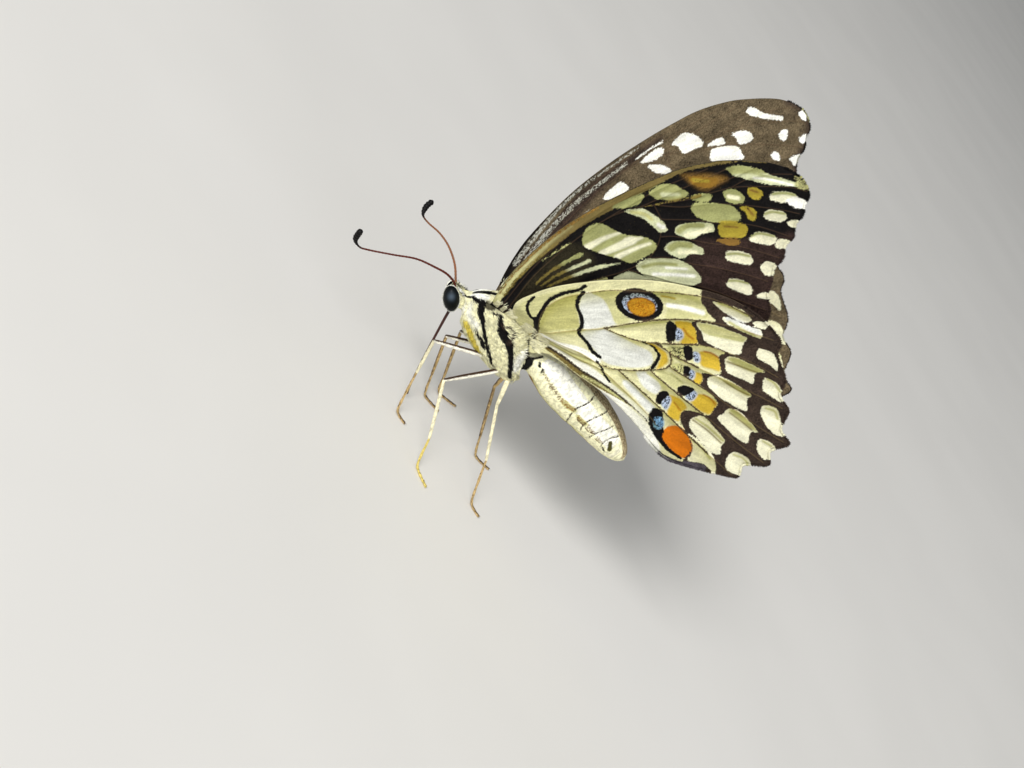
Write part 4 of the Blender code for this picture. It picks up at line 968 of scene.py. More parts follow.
def make_wing(name, layout, side, look):
    """One wing: both painted faces, its rim, its fringe and the hairs at its root."""
    spots, triangles, veins = layout
    to_each = np.array([distance_to_line(spots, vein) for vein in veins])
    to_veins = np.sort(to_each, axis=0)
    shade = cell_shade(spots, veins, to_each) * look["shade"]
    fold = 2 * to_veins[0] / (to_veins[0] + to_veins[1] + 1e-6)
    reach = np.linalg.norm(spots, axis=1)
    sag = look["fold"] * fold ** FOLD_POWER * ease((reach - FOLD_START) / (FOLD_FULL - FOLD_START))
    to_costa = distance_to_line(spots, smooth_path(tenths(look["costa"]), RIM_STEP))
    taper = 1.0 - 0.5 * ease(reach / WING_LENGTH)
    half = MEMBRANE_HALF + VEIN_HEIGHT * taper * np.exp(-(to_veins[0] / VEIN_HALF_WIDTH) ** 2)
    half += COSTA_HEIGHT * taper * ease(1.0 - to_costa / COSTA_WIDTH)
    middle = wing_offset(spots, look) - sag
    parts = []
    for sign, face in ((1, "under"), (-1, "upper")):
        layers = paint(spots, look[face], *look[f"{face}_ground"])
        layers["tint"] *= 1.0 - shade[:, None] * (1.0 - SHADE_TINT)
        layers["vein"] = to_veins[0]
        layers["ray"] = rays(spots, sign)
        layers["place"] = lifted(spots, FACE_HEIGHT * sign)
        parts.append((wing_place(spots, middle + sign * half, side), [], layers))
    count = len(spots)
    faces = list(triangles)
    faces += [(a + count, c + count, b + count) for a, b, c in triangles]
    for a, b in rim_edges(triangles):
        faces += [(b, a, a + count), (b, a + count, b + count)]
    if side < 0:
        faces = [face[::-1] for face in faces]
    random = np.random.default_rng(SEED)
    points, _, layers = join_parts(parts)
    parts = [(points, faces, layers)] + make_fringe(look, side, random)
    parts += make_tufts(look, side, random)
    points, faces, layers = join_parts(parts)
    make_piece(f"{name}_membrane", points, faces, look["material"], [name], layers)


def make_wings():
    """All four wings. A pair shares one layout of points."""
    forewing = {
        "under": FOREWING_UNDER, "under_ground": (0.1, DEEP_OLIVE, BLACK),
        "upper": FOREWING_UPPER, "upper_ground": (0.12, SPECKLE, UPPER_BROWN),
        "fold": FOREWING_FOLD, "costa": FOREWING_COSTA, "margin": FOREWING_MARGIN, "offset": 0.0,
        "shade": 0.25, "root": ((-0.9, -0.9), (0.0, 1.2)), "hair_heading": (0.9, 0.2),
        "slot": "forewing",
        "material": wing_material("forewing_scales", srgb(96, 74, 54), 0.0, 0.25)}
    hindwing = {
        "under": HINDWING_UNDER, "under_ground": (-1.0, HINDWING_CREAM, BLACK),
        "upper": HINDWING_UPPER, "upper_ground": (1.0, CREAM, UPPER_BROWN),
        "fold": HINDWING_FOLD, "costa": HINDWING_OUTLINE[3:12], "margin": HINDWING_MARGIN,
        "offset": HINDWING_OFFSET, "shade": 1.0, "root": ((-1.8, 2.6), (0.6, 5.6)),
        "hair_heading": (0.5, 0.8), "slot": "hindwing",
        "material": wing_material("hindwing_scales", srgb(170, 146, 92), 0.5, 0.12)}
    for kind, look, outline, veins in (("forewing", forewing, FOREWING_OUTLINE, FOREWING_VEINS),
                                       ("hindwing", hindwing, HINDWING_OUTLINE, HINDWING_VEINS)):
        layout = wing_layout(outline, veins)
        for side_name, side in SIDES.items():
            make_wing(f"{kind}_{side_name}", layout, side, look)


# Body

STITCH_STEP = 0.16


def zigzag(line, swing):
    """A row of stitches up and down across a line. Line, swing and stitches are in tenths."""
    stitches = smooth_path(tenths(line), STITCH_STEP) * 10
    stitches[:, 2] += swing * (-1) ** np.arange(len(stitches))
    return stitches


BACK_LINE = [(34, 4, 169), (65, 4, 173), (90, 4, 173), (118, 5, 167), (132, 5, 161), (140, 5, 153)]
BELLY_LINE = [(30, 9, 122), (50, 8, 121), (75, 9, 124), (96, 9, 129), (118, 8, 135)]
BODY_MARKS = marks(
    # Head and thorax
    (WASH, CROWN_GREY, 0.45, [(-108, 0, 123), (-102, 0, 129), (-98, 0, 131)]),
    (WASH, WHITE, 0.45, [(-101, 10, 127), (-91, 12, 123), (-86, 13, 118), (-82, 12, 113)]),
    (WASH, WHITE, 0.5, [(-86, 7, 136), (-82, 9, 140), (-79, 10, 144)]),
    (SOFT_WASH, WHITE, 0.8, [(-83, 18, 128), (-79, 18, 124), (-72, 20, 121), (-62, 24, 122)]),
    (SOFT_WASH, WHITE, 1.0, [(-9, 24, 143), (-6, 24, 134), (0, 22, 126)]),
    (WASH, PATCH_YELLOW, 0.5, [(-67, 18, 112), (-60, 21, 110), (-54, 20, 108), (-41, 20, 104)]),
    (WASH, CROWN_GREY, 0.4, [(-74, 17, 142), (-71, 19, 144), (-68, 19, 146)]),
    (DARK, BLACK, 0.5, [(-90, 0, 137), (-80, 0, 149), (-70, 0, 158), (-44, 0, 172), (-14, 0, 172),
     (2, 0, 162)]),
    (DARK, BLACK, (0.08, 0.2), [(-103, 6, 126), (-100, 5, 126), (-96, 6, 126), (-91, 8, 127),
     (-88, 9, 130), (-86, 10, 134)]),
    (DARK, BLACK, (0.16, 0.34), [(-86, 10, 134), (-82, 14, 136), (-79, 16, 139), (-76, 17, 141)]),
    (DARK, BLACK, (0.38, 0.2), [(-76, 19, 138), (-69, 23, 133), (-63, 25, 131), (-55, 26, 126)]),
    (DARK, BLACK, (0.19, 0.2), [(-55, 26, 126), (-47, 27, 122), (-37, 27, 117), (-27, 25, 112),
     (-20, 23, 108)]),
    (DARK, BLACK, (0.16, 0.26), [(-59, 25, 119), (-54, 25, 117), (-49, 26, 117), (-43, 26, 115),
     (-40, 26, 113)]),
    (DARK, BLACK, 0.13, [(-63, 23, 144), (-58, 23, 148), (-54, 24, 150)]),
    (DARK, BLACK, (0.26, 0.5), [(-54, 25, 147), (-46, 27, 142), (-39, 28, 140)]),
    (DARK, BLACK, (0.5, 0.28), [(-39, 28, 140), (-29, 28, 138), (-24, 28, 136), (-16, 28, 131)]),
    (DARK, BLACK, (0.28, 0.24), [(-16, 28, 131), (-8, 25, 124), (-2, 23, 118), (4, 19, 112)]),
    (DARK, DARK_BROWN, 0.1, [(-47, 27, 146), (-42, 26, 149), (-35, 27, 150), (-31, 28, 145),
     (-30, 29, 139)]),
    (DARK, BLACK, 0.42, [(-21, 18, 159), (-15, 19, 154), (-10, 18, 149)]),
    (DARK, BLACK, (0.42, 0.3), [(-10, 18, 149), (-4, 17, 145), (2, 15, 138), (5, 12, 130), (7, 6, 123)]),
    (DARK, BLACK, 0.13, [(1, 13, 142), (3, 13, 147), (5, 12, 152)]),
    # Abdomen
    (WASH, ABDOMEN_CREAM, 3.4, [(26, 10, 146), (130, 10, 150)]),
    (SOFT_WASH, ABDOMEN_WHITE, 2.0, [(16, 19, 152), (40, 22, 154), (80, 22, 158), (120, 18, 156)]),
    (SOFT_WASH, STRAW, 1.1, [(22, 10, 126), (43, 8, 122), (75, 10, 124), (96, 10, 129)]),
    (MIST, DORSAL_TAN, 0.85, BACK_LINE),
    (INK, DEEP_BROWN, 1.0, BACK_LINE),
    (DARK, DEEP_BROWN, 0.07, zigzag(BACK_LINE, 2.2)),
    (DARK, DEEP_BROWN, 0.09, zigzag(BELLY_LINE, 1)),
    (MIST, OCHRE, 0.42, [(18, 9, 126), (43, 5, 120), (75, 6, 123), (96, 6, 128), (118, 6, 134)]),
    (INK, BROWN, 0.7, [(18, 9, 126), (43, 5, 120), (75, 6, 123), (96, 6, 128), (118, 6, 134)]),
    (DARK, DEEP_BROWN, 0.05, zigzag([(15, 19, 145), (25, 21, 144), (35, 22, 142)], 1.4)),
    (DARK, DEEP_BROWN, 0.055, zigzag([(33, 22, 142), (45, 23, 142), (56, 23, 143)], 3)),
    (MIST, STRAW, (0.4, 0.34), [(57, 23, 143), (63, 23, 144), (68, 24, 146)]),
    (MIST, STRAW, (0.24, 0.3), [(76, 23, 145), (82, 22, 145), (87, 23, 146)]),
    (INK, BROWN, 0.7, [(55, 23, 143), (87, 23, 146)]),
    (DARK, BROWN, 0.06, zigzag([(57, 23, 143), (63, 23, 144), (68, 24, 146)], 2.6), zigzag([(76, 23, 145),
     (82, 22, 145), (87, 23, 146)], 2)),
    (DARK, BROWN, 0.05, zigzag([(90, 23, 147), (95, 22, 146), (101, 21, 147)], 1.4),
     zigzag([(106, 21, 146), (110, 20, 146), (114, 20, 146)], 1)),
    (DARK, DEEP_BROWN, 0.09, [(77, 22, 142), (83, 22, 142), (88, 22, 144)], [(91, 22, 143), (96, 21, 143),
     (101, 21, 146)]),
    (DARK, DEEP_BROWN, 0.08, [(107, 20, 143), (113, 19, 144)]),
    (DARK, BLACK, 0.17, [(8, 17, 147), (11, 18, 145)]),
    (DARK, BLACK, 0.12, [(15, 19, 146), (17, 19, 143)]),
    (DARK, BLACK, 0.14, [(120, 17, 142), (124, 16, 141)]),
    (DARK, CLASPER_OLIVE, (0.2, 0.26), [(120, 18, 153), (123, 18, 150), (126, 18, 147)]))
# Lines between the abdomen's segments, seen from the side
SEGMENT_LINES = [
    ((69, 173), (71, 164), (68, 152), (69, 144), (73, 134), (79, 124)),
    ((92, 171), (88, 160), (86, 150), (88, 140), (91, 135)),
    ((108, 166), (104, 155), (102, 146), (103, 138)),
    ((121, 163), (116, 156), (116, 146), (118, 140))]
SEGMENT_HALF_WIDTH = 0.06
SKIN_NODES = ("head", "thorax", "abdomen")
HEAD_SCALES = 5000
THORAX_SCALES = 17000
ABDOMEN_SCALES = 15000
SKIN_JOIN = 0.2
SKIN_VOXEL = 0.12
SKIN_SMOOTHINGS = 8
COAT_DEPTH = 0.14
COAT_SINK = 0.03
SEGMENT_CREASE = 0.06
CREASE_REACH = 0.1
MOUTH = np.array([-9.1, 0.0, 10.3])
CROWN = np.array([-10.1, 0.0, 13.3])
CROWN_SHIFT = np.array([0.52, 0.0, -0.42])
CROWN_REACH = 1.1

# The skin rolled out for baking, and each scale's small patch of it
BAKE_CORNERS = np.array([(0, 0), (1, 0), (0.5, 0), (0, 0.5), (1, 0.5), (0.5, 0.5), (0.5, 1)])
BAKE_PATCH = 0.003
UNWRAP_START = -12.0
UNWRAP_LENGTH = 28.0
UNWRAP_HEIGHT = 13.4

# The thorax round the roots of the wings
WING_ROOT_HEIGHT = 13.4
WING_ROOT_START = -5.6
WING_ROOT_BLEND = 1.4

# Eyes
RIM_COUNT = 420
RIM_SPAN = (0.86, 1.12)
RIM_LENGTHS = (0.2, 0.34)
EYE_CENTRE = np.array([-11.22, 1.12, 11.5])
EYE_RADII = np.array([0.8, 0.8, 1.33])
EYE_FLAT = 0.85
EYE_SHIFT = {"left": np.zeros(3), "right": np.array([0.14, 0.0, -0.26])}
# Painted highlight: a grey-blue patch in each eye's colour, where the sky's reflection would fall
PAINTED_HIGHLIGHT = np.array([-9.95, -1.9, 11.9])
PAINTED_HIGHLIGHT_REACH = 0.38
PAINTED_HIGHLIGHT_STRENGTH = 0.8
HEAD_PITCH = math.radians(52.0)
EYE_TURN = np.array(Matrix.Rotation(-HEAD_PITCH, 3, "Y"))
EYE_FACETS = 4
EYE_DETAIL = 6
FACET_RISE = 0.008
FACET_RADIUS = 0.034
FACET_EDGE = 1.3

# Points along the feelers, the tongue and the legs
ANTENNAE = {
    "left": [(-116, -4.5, 122), (-123, -6, 126), (-135, -12, 128), (-148, -17, 125), (-167, -22, 117),
        (-185, -28, 103), (-204, -33, 88), (-213, -39, 85), (-222, -44, 89), (-227, -50, 102)],
    "right": [(-115, 4.5, 120), (-121, 6.5, 124), (-133, 17, 130), (-149, 27, 133), (-164, 36, 131),
        (-178, 45, 125), (-186, 53, 123), (-189.5, 62, 128), (-189, 69, 135)]}
ANTENNA_COLOURS = {"left": srgb(86, 34, 22), "right": srgb(132, 86, 58)}
PROBOSCIS = [(-104, 0, 110), (-99, 0, 97), (-85, 0, 67), (-66, 0, 28), (-57, 0, 12), (-53, 0, 6)]
LEGS = {
    "fore_left": [(-34, -12, 112), (-91, -32, 80), (-75, -36, 45), (-61, -38, 16), (-55, -39.5, 5),
        (-49, -40.5, 2), (-39, -42, 1.6)],
    "fore_right": [(-34, 12, 112), (-73, 30, 68), (-46, 38, 25), (-34, 39.5, 6), (-27, 40, 2),
        (-8, 42, 1.8)],
    "mid_left": [(-22, -14, 110), (-58, -57, 72), (-21, -75, 27), (-11, -83, 8), (-5, -88, 2.2),
        (12, -100, 1.8)],
    "mid_right": [(-22, 14, 110), (-62, 57, 73), (-29, 68, 21), (-20, 71.5, 6), (-13, 74, 2),
        (10, 85, 1.8)],
    "hind_left": [(-12, -10, 112), (2, -27, 87), (42, -37, 43), (60, -42, 16), (68, -44.5, 5),
        (74, -46.5, 2), (85, -49.5, 1.6)],
    "hind_right": [(-12, 10, 112), (-1, 25, 76), (39, 35, 23), (52, 39, 6), (60, 41, 2), (78, 46, 1.8)]}


def body_points(points):
    """Points of the body in the part's frame, from tenths in the body's own."""
    return tenths(points) + BODY_SHIFT


def welded(mesh):
    """The mesh as a bmesh in millimetres, with the points of neighbouring faces joined."""
    shape = bmesh.new()
    shape.from_mesh(mesh)
    bmesh.ops.scale(shape, vec=(1 / MM, 1 / MM, 1 / MM), verts=shape.verts)
    bmesh.ops.remove_doubles(shape, verts=shape.verts, dist=0.001)
    shape.normal_update()
    return shape


def body_skin():
    """One smooth skin over head, thorax and abdomen, and the CAD node nearest each point."""
    swollen = bpy.data.meshes.new("swollen")
    joined = bmesh.new()
    tree = KDTree(sum(len(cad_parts[name].data.vertices) for name in SKIN_NODES))
    for region, name in enumerate(SKIN_NODES):
        shape = welded(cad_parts[name].data)
        for vert in shape.verts:
            tree.insert(vert.co, region)
        for vert in shape.verts:
            vert.co += vert.normal * SKIN_JOIN
        shape.to_mesh(swollen)
        joined.from_mesh(swollen)
    tree.balance()
    joined.to_mesh(swollen)
    holder = add_object("swollen", swollen)
    remesh = holder.modifiers.new("remesh", "REMESH")
    remesh.mode = "VOXEL"
    remesh.voxel_size = SKIN_VOXEL
    smooth = holder.modifiers.new("smooth", "SMOOTH")
    smooth.iterations = SKIN_SMOOTHINGS
    depsgraph = bpy.context.evaluated_depsgraph_get()
    mesh = bpy.data.meshes.new_from_object(holder.evaluated_get(depsgraph))
    bpy.data.objects.remove(holder)
    points = np.array([vert.co for vert in mesh.vertices])
    normals = np.array([vert.vector for vert in mesh.vertex_normals])
    faces = [tuple(polygon.vertices) for polygon in mesh.polygons]
    region = np.array([tree.find(point)[1] for point in points])
    return points - normals * SKIN_JOIN, normals, faces, region


def to_segment_lines(places):
    """How far each place is from each line between two segments, seen from the side."""
    side_view = places[:, [0, 2]]
    return [distance_to_line(side_view, smooth_path(tenths(line), MARK_STEP)) for line in SEGMENT_LINES]


def body_paint(places):
    """Markings of the body, the same on both sides."""
    folded = places * [1.0, 0.0, 1.0] + np.abs(places) * [0.0, 1.0, 0.0]
    layers = paint(folded, BODY_MARKS, -1.0, BODY_CREAM, BLACK)
    for gap in to_segment_lines(folded):
        depth = SEGMENT_HALF_WIDTH - gap
        layers["ink"][depth > layers["edge"]] = DARK_BROWN
        layers["edge"] = np.maximum(layers["edge"], depth)
    layers["place"] = places
    return layers


def unwrap(places):
    """Place on the skin rolled out round the body's length, each way from 0 to 1."""
    around = np.arctan2(places[:, 1], places[:, 2] - UNWRAP_HEIGHT) / (2 * math.pi) + 0.5
    along = (places[:, 0] - UNWRAP_START) / UNWRAP_LENGTH
    return np.stack([along, around], axis=1)


def blade_uv(centres):
    """A small patch of the rolled out skin for each blade."""
    uv = unwrap(centres)[:, None] + (BAKE_CORNERS - 0.5) * BAKE_PATCH
    return np.clip(uv.reshape(-1, 2), 0, 1)


def body_material():
    """Cream and black scales, finely streaked, with soft edges between them."""
    nodes = Nodes("body_scales")
    place = nodes.layer("place")["Vector"]
    fine = nodes.noise(place, 5.0, 3.0, 0.6)
    streak = nodes.noise(nodes.scaled(place, (1.0, 1.0, 0.45)), 3.2, 3.0, 0.6)
    chance = nodes.noise(place, 23.0, 1.0)
    jitter = nodes.math("MULTIPLY_ADD", fine, 0.2, nodes.math("MULTIPLY_ADD", chance, 0.34, -0.27))
    dark = nodes.span(nodes.math("ADD", nodes.layer("edge")["Fac"], jitter), -0.02, 0.02)
    tone = nodes.math("MULTIPLY_ADD", chance, 0.55, nodes.span(streak, 0.36, 0.6, 0.54, 0.96))
    pale = nodes.brighten(nodes.layer("tint")["Color"], tone)
    ink = nodes.brighten(nodes.layer("ink")["Color"], nodes.math("MULTIPLY_ADD", chance, 1.6, 0.3))
    colour = nodes.mix(dark, pale, ink)
    rough = nodes.math("MULTIPLY_ADD", fine, 0.2, 0.55)
    normal = nodes.bump(nodes.noise(place, 9.0, 2.0), 0.35, 0.08)
    return nodes.finish(Base_Color=colour, Roughness=rough, Normal=normal,
                        Specular_IOR_Level=0.15)


def scatter(surface, faces, weights, count, random):
    """Evenly random places on the faces, as three corners and their shares for each."""
    triangles = np.array([(f[0], f[k], f[k + 1]) for f in faces for k in range(1, len(f) - 1)])
    corners = surface[triangles]
    first, second = corners[:, 1] - corners[:, 0], corners[:, 2] - corners[:, 0]
    area = np.linalg.norm(np.cross(first, second), axis=1) * weights[triangles].mean(axis=1)
    chosen = random.choice(len(triangles), count, p=area / area.sum())
    first, second = random.random((2, count))
    flip = first + second > 1
    first[flip], second[flip] = 1 - first[flip], 1 - second[flip]
    return triangles[chosen], np.stack([1 - first - second, first, second], axis=1)


def make_coat(name, skin, wanted, count, look, material, seed):
    """Thin overlapping scales over one region of the skin, lying the way the coat does."""
    surface, normals, faces, region, depth = skin
    random = np.random.default_rng(seed)
    weights = (region == wanted).astype(float)
    corners, shares = scatter(surface, faces, weights, count, random)
    outer = np.einsum("nk,nkd->nd", shares, surface[corners])
    normal = unit(np.einsum("nk,nkd->nd", shares, normals[corners]))
    sunk = np.einsum("nk,nk->n", shares, depth[corners])
    flow = look["flow"](outer)
    flow = unit(flow - normal * np.einsum("nd,nd->n", flow, normal)[:, None])
    across = np.cross(normal, flow)
    heading = flow + across * random.normal(0.0, look["spread"], count)[:, None]
    lift = look["lift"] * random.uniform(0.6, 1.4, count)
    heading = unit(unit(heading) + normal * lift[:, None])
    lengths = look["length"] * random.uniform(0.65, 1.25, count) * look["grow"](outer)
    widths = look["width"] * random.uniform(0.7, 1.2, count)
    roots = outer - normal * (sunk + COAT_SINK)[:, None]
    points, leaf_faces = blades(roots, heading, normal, lengths, widths, look["thickness"],
                                look["waist"], look["curl"])
    layers = body_paint(outer + flow * lengths[:, None] * 0.45)
    layers = {key: per_blade(values) for key, values in layers.items()}
    make_piece(name, points, leaf_faces, material, (), layers, blade_uv(outer))


def root_share(at):
    """How near each place is to the wing roots, from 0 to 1."""
    up = ease((at[:, 2] - WING_ROOT_HEIGHT) / WING_ROOT_BLEND)
    return up * ease((at[:, 0] - WING_ROOT_START) / WING_ROOT_BLEND)


def thorax_flow(at):
    """The thorax coat lies back and down, and up over the wing roots."""
    down = np.tile((1.0, 0.0, -0.35), (len(at), 1))
    over = np.tile((0.75, 0.0, 0.8), (len(at), 1))
    share = root_share(at)[:, None]
    return down * (1.0 - share) + over * share


def eye_centre(side_name):
    """The middle of an eye."""
    return EYE_CENTRE * [1.0, SIDES[side_name], 1.0] + BODY_SHIFT + EYE_SHIFT[side_name]


def make_eye_rims(material, random):
    """White scales that lean out round the eyes."""
    angle = random.uniform(0, 2 * math.pi, RIM_COUNT)
    ring = np.stack([np.cos(angle), np.zeros(RIM_COUNT), np.sin(angle)], axis=1)
    ring = (ring * EYE_RADII) @ EYE_TURN.T
    radial = unit(ring)
    parts, centres = [], []
    for side_name, side in SIDES.items():
        roots = eye_centre(side_name) + ring
        roots[:, 1] = side * random.uniform(*RIM_SPAN, RIM_COUNT)
        out = np.array([0.0, side, 0.0])
        stray = np.cross(radial, out) * random.normal(0, 0.25, RIM_COUNT)[:, None]
        points, faces = blades(roots, radial * 0.55 + out + stray, radial,
                               random.uniform(*RIM_LENGTHS, RIM_COUNT), width=0.08, thickness=0.2,
                               waist=0.7, curl=0.1)
        layers = {**even_layers(len(points), -0.5, WHITE, BLACK), "place": per_blade(roots)}
        parts.append((points, faces, layers))
        centres.append(roots)
    points, faces, layers = join_parts(parts)
    make_piece("eye_rim_coat", points, faces, material, (), layers,
               blade_uv(np.vstack(centres)))


def make_body():
    """The skin of head, thorax and abdomen, and the coats of scales over it."""
    surface, normals, faces, region = body_skin()
    to_crown = np.linalg.norm(surface - CROWN, axis=1)
    surface = surface + CROWN_SHIFT * np.exp(-(to_crown / CROWN_REACH) ** 2)[:, None]
    depth = np.full(len(surface), COAT_DEPTH)
    for gap in to_segment_lines(surface):
        depth += SEGMENT_CREASE * np.exp(-(gap / CREASE_REACH) ** 2)
    material = body_material()
    layers = body_paint(surface)
    make_piece("body_skin", surface - normals * depth[:, None], faces, material,
               SKIN_NODES, layers, unwrap(surface))
    skin = surface, normals, faces, region, depth
    thorax = {
        "flow": thorax_flow, "spread": 0.22, "lift": 0.24,
        "length": 0.5, "width": 0.075, "thickness": 0.3, "waist": 0.7, "curl": 0.1,
        "slot": "body_scales",
        "grow": lambda at: 1.0 + 0.9 * ease((11.4 - at[:, 2]) / 1.2) + 0.5 * root_share(at)}
    abdomen = {
        "flow": lambda at: np.tile((1.0, 0.0, 0.0), (len(at), 1)), "spread": 0.12, "lift": 0.1,
        "length": 0.26, "width": 0.12, "thickness": 0.12, "waist": 0.6, "curl": 0.1,
        "slot": "abdomen_scales", "grow": lambda at: np.ones(len(at))}
    head = {
        "flow": lambda at: at - MOUTH, "spread": 0.25, "lift": 0.3, "length": 0.3, "width": 0.05,
        "thickness": 0.3, "waist": 0.7, "curl": 0.1, "slot": "body_scales",
        "grow": lambda at: 1.0 - 0.45 * ease((at[:, 2] - 12.2) / 0.8)}
    make_coat("head_coat", skin, 0, HEAD_SCALES, head, material, SEED + 1)
    make_eye_rims(material, np.random.default_rng(SEED + 4))
    make_coat("thorax_coat_front", skin, 1, THORAX_SCALES, thorax, material, SEED + 2)
    make_coat("abdomen_coat", skin, 2, ABDOMEN_SCALES, abdomen, material, SEED + 3)


def make_eyes():
    """Domed facets over a glossy black eye with a painted grey-blue highlight in its colour, cut flat
    where it sits in the head.
    """
    nodes = Nodes("eye_gloss")
    place = nodes.layer("place")["Vector"]
    tone = nodes.span(nodes.noise(place, 1.4, 2.0), 0.35, 0.65)
    colour = nodes.mix(tone, srgb(5, 7, 8), srgb(10, 13, 14))
    # Painted highlight: the colour turns grey-blue round one place on each eye
    colour = nodes.mix(nodes.layer("painted_highlight")["Fac"], colour, srgb(80, 92, 104))
    rough = nodes.math("MULTIPLY_ADD", nodes.noise(place, 12.0), 0.1, 0.34)
    normal = nodes.bump(nodes.cells(place, 16.0)["Distance"], 0.15, 0.01)
    material = nodes.finish(Base_Color=colour, Roughness=rough, Normal=normal,
                            Specular_IOR_Level=0.1)
    facets, dome = bmesh.new(), bmesh.new()
    bmesh.ops.create_icosphere(facets, subdivisions=EYE_FACETS, radius=1.0)
    bmesh.ops.create_icosphere(dome, subdivisions=EYE_DETAIL, radius=1.0)
    tree = KDTree(len(facets.verts))
    for vert in facets.verts:
        tree.insert(vert.co, vert.index)
    tree.balance()
    for vert in dome.verts:
        gap = tree.find(vert.co)[2] / FACET_RADIUS
        vert.co *= 1.0 + FACET_RISE * (1.0 - min(gap, FACET_EDGE) ** 2)
    for side_name, side in SIDES.items():
        shape = dome.copy()
        centre = eye_centre(side_name)
        for vert in shape.verts:
            vert.co = Vector(EYE_TURN @ (np.array(vert.co) * EYE_RADII) + centre)
        geometry = shape.verts[:] + shape.edges[:] + shape.faces[:]
        cut = bmesh.ops.bisect_plane(
            shape, geom=geometry, dist=1e-5, plane_co=(0, side * EYE_FLAT, 0),
            plane_no=(0, -side, 0), clear_outer=True)
        edges = [edge for edge in cut["geom_cut"] if isinstance(edge, bmesh.types.BMEdge)]
        bmesh.ops.edgeloop_fill(shape, edges=edges)
        shape.verts.index_update()
        points = np.array([vert.co for vert in shape.verts])
        faces = [tuple(vert.index for vert in face.verts) for face in shape.faces]
        name = f"eye_{side_name}"
        gap = np.linalg.norm(points * [1.0, -side, 1.0] - PAINTED_HIGHLIGHT, axis=1)
        layers = {"place": points, "painted_highlight": PAINTED_HIGHLIGHT_STRENGTH * np.exp(-(gap / PAINTED_HIGHLIGHT_REACH) ** 2)}
        make_piece(f"{name}_facets", points, faces, material, [name], layers)


# Feelers and legs

ANTENNA_STEP = 0.05
ANTENNA_RADIUS = 0.12
CLUB_RADIUS = 0.3
CLUB_LENGTH = 2.6
CLUB_BLEND = 1.6
BLACK_LENGTH = 3.4
BLACK_BLEND = 1.2
ANTENNA_RING = 0.34
TONGUE_STEP = 0.03
TONGUE_RING = 0.13
TUBE_SIDES = 14
TONGUE_SIDES = 16


def travel_along(path):
    """The length along a path at each of its points."""
    return np.concatenate([[0.0], np.cumsum(np.linalg.norm(np.diff(path, axis=0), axis=1))])


def rings(along, pitch, depth):
    """A factor that rises and falls once in each pitch."""
    return 1.0 + depth * np.cos(along * 2 * math.pi / pitch)


def tube(path, radii, sides):
    """A closed round tube: its points, faces, length along and outward direction at each."""
    path = np.asarray(path, float)
    heading = unit(np.gradient(path, axis=0))
    side = unit(np.cross(heading[0], (0.3, 0.2, 1.0)))
    angles = np.arange(sides) * 2 * math.pi / sides
    out = []
    for direction in heading:
        side = unit(side - direction * (side @ direction))
        other = np.cross(direction, side)
        out.append(np.cos(angles)[:, None] * side + np.sin(angles)[:, None] * other)
    out = np.array(out)
    radii = np.broadcast_to(np.asarray(radii, float), len(path))
    points = path[:, None] + out * radii[:, None, None]
    travel = travel_along(path)
    count = len(path)
    faces = [(k * sides + i, k * sides + (i + 1) % sides, (k + 1) * sides + (i + 1) % sides,
              (k + 1) * sides + i) for k in range(count - 1) for i in range(sides)]
    start, end = count * sides, count * sides + 1
    last = (count - 1) * sides
    faces += [(start, (i + 1) % sides, i) for i in range(sides)]
    faces += [(end, last + i, last + (i + 1) % sides) for i in range(sides)]
    points = np.vstack([points.reshape(-1, 3), path[:1], path[-1:]])
    along = np.concatenate([np.repeat(travel, sides), [0.0, travel[-1]]])
    out = np.vstack([out.reshape(-1, 3), -heading[:1], heading[-1:]])
    return points, faces, along, out


def make_antennae():
    """Ringed feelers that end in black clubs."""
    material = ring_material("antenna_rings", 0.5, 14.0, level=0.15)
    for side_name, points in ANTENNAE.items():
        path = smooth_path(body_points(points), ANTENNA_STEP)
        travel = travel_along(path)
        left = travel[-1] - travel
        club = ease((CLUB_LENGTH - left) / CLUB_BLEND) * ease(0.25 + left / CLUB_RADIUS)
        taper = 1.0 - 0.25 * ease(travel / 9.0)
        radii = ANTENNA_RADIUS * taper * (1 - club) + CLUB_RADIUS * club
        radii *= rings(travel, ANTENNA_RING, 0.09)
        radii[-1] = 0.1
        shape, faces, along, _ = tube(path, radii, TUBE_SIDES)
        share = np.interp(along, travel, ease((BLACK_LENGTH - left) / BLACK_BLEND))[:, None]
        tint = np.array(ANTENNA_COLOURS[side_name]) * (1 - share) + np.array(BLACK) * share
        tint = tint * rings(along, ANTENNA_RING, 0.12)[:, None]
        name = f"antenna_{side_name}"
        make_piece(f"{name}_rings", shape, faces, material, [name],
                   {"tint": np.clip(tint, 0, 1), "place": shape})


def make_proboscis():
    """The lowered tongue, finely ringed and grooved in front and behind."""
    material = ring_material("tongue_rings", 0.45, 10.0)
    path = smooth_path(body_points(PROBOSCIS), TONGUE_STEP)
    travel = travel_along(path)
    radii = np.interp(travel, [0.0, 3.0, travel[-1]], [0.19, 0.16, 0.1])
    radii *= rings(travel, TONGUE_RING, 0.05)
    shape, faces, along, out = tube(path, radii, TONGUE_SIDES)
    groove = 1.0 - 0.16 * out[:, 0] ** 2
    centre = np.vstack([np.repeat(path, TONGUE_SIDES, axis=0), path[:1], path[-1:]])
    shape = centre + (shape - centre) * groove[:, None]
    tint = np.array(TONGUE_BROWN) * rings(along, TONGUE_RING, 0.3)[:, None]
    make_piece("proboscis_rings", shape, faces, material, ["proboscis"],
               {"tint": np.clip(tint, 0, 1), "place": shape})


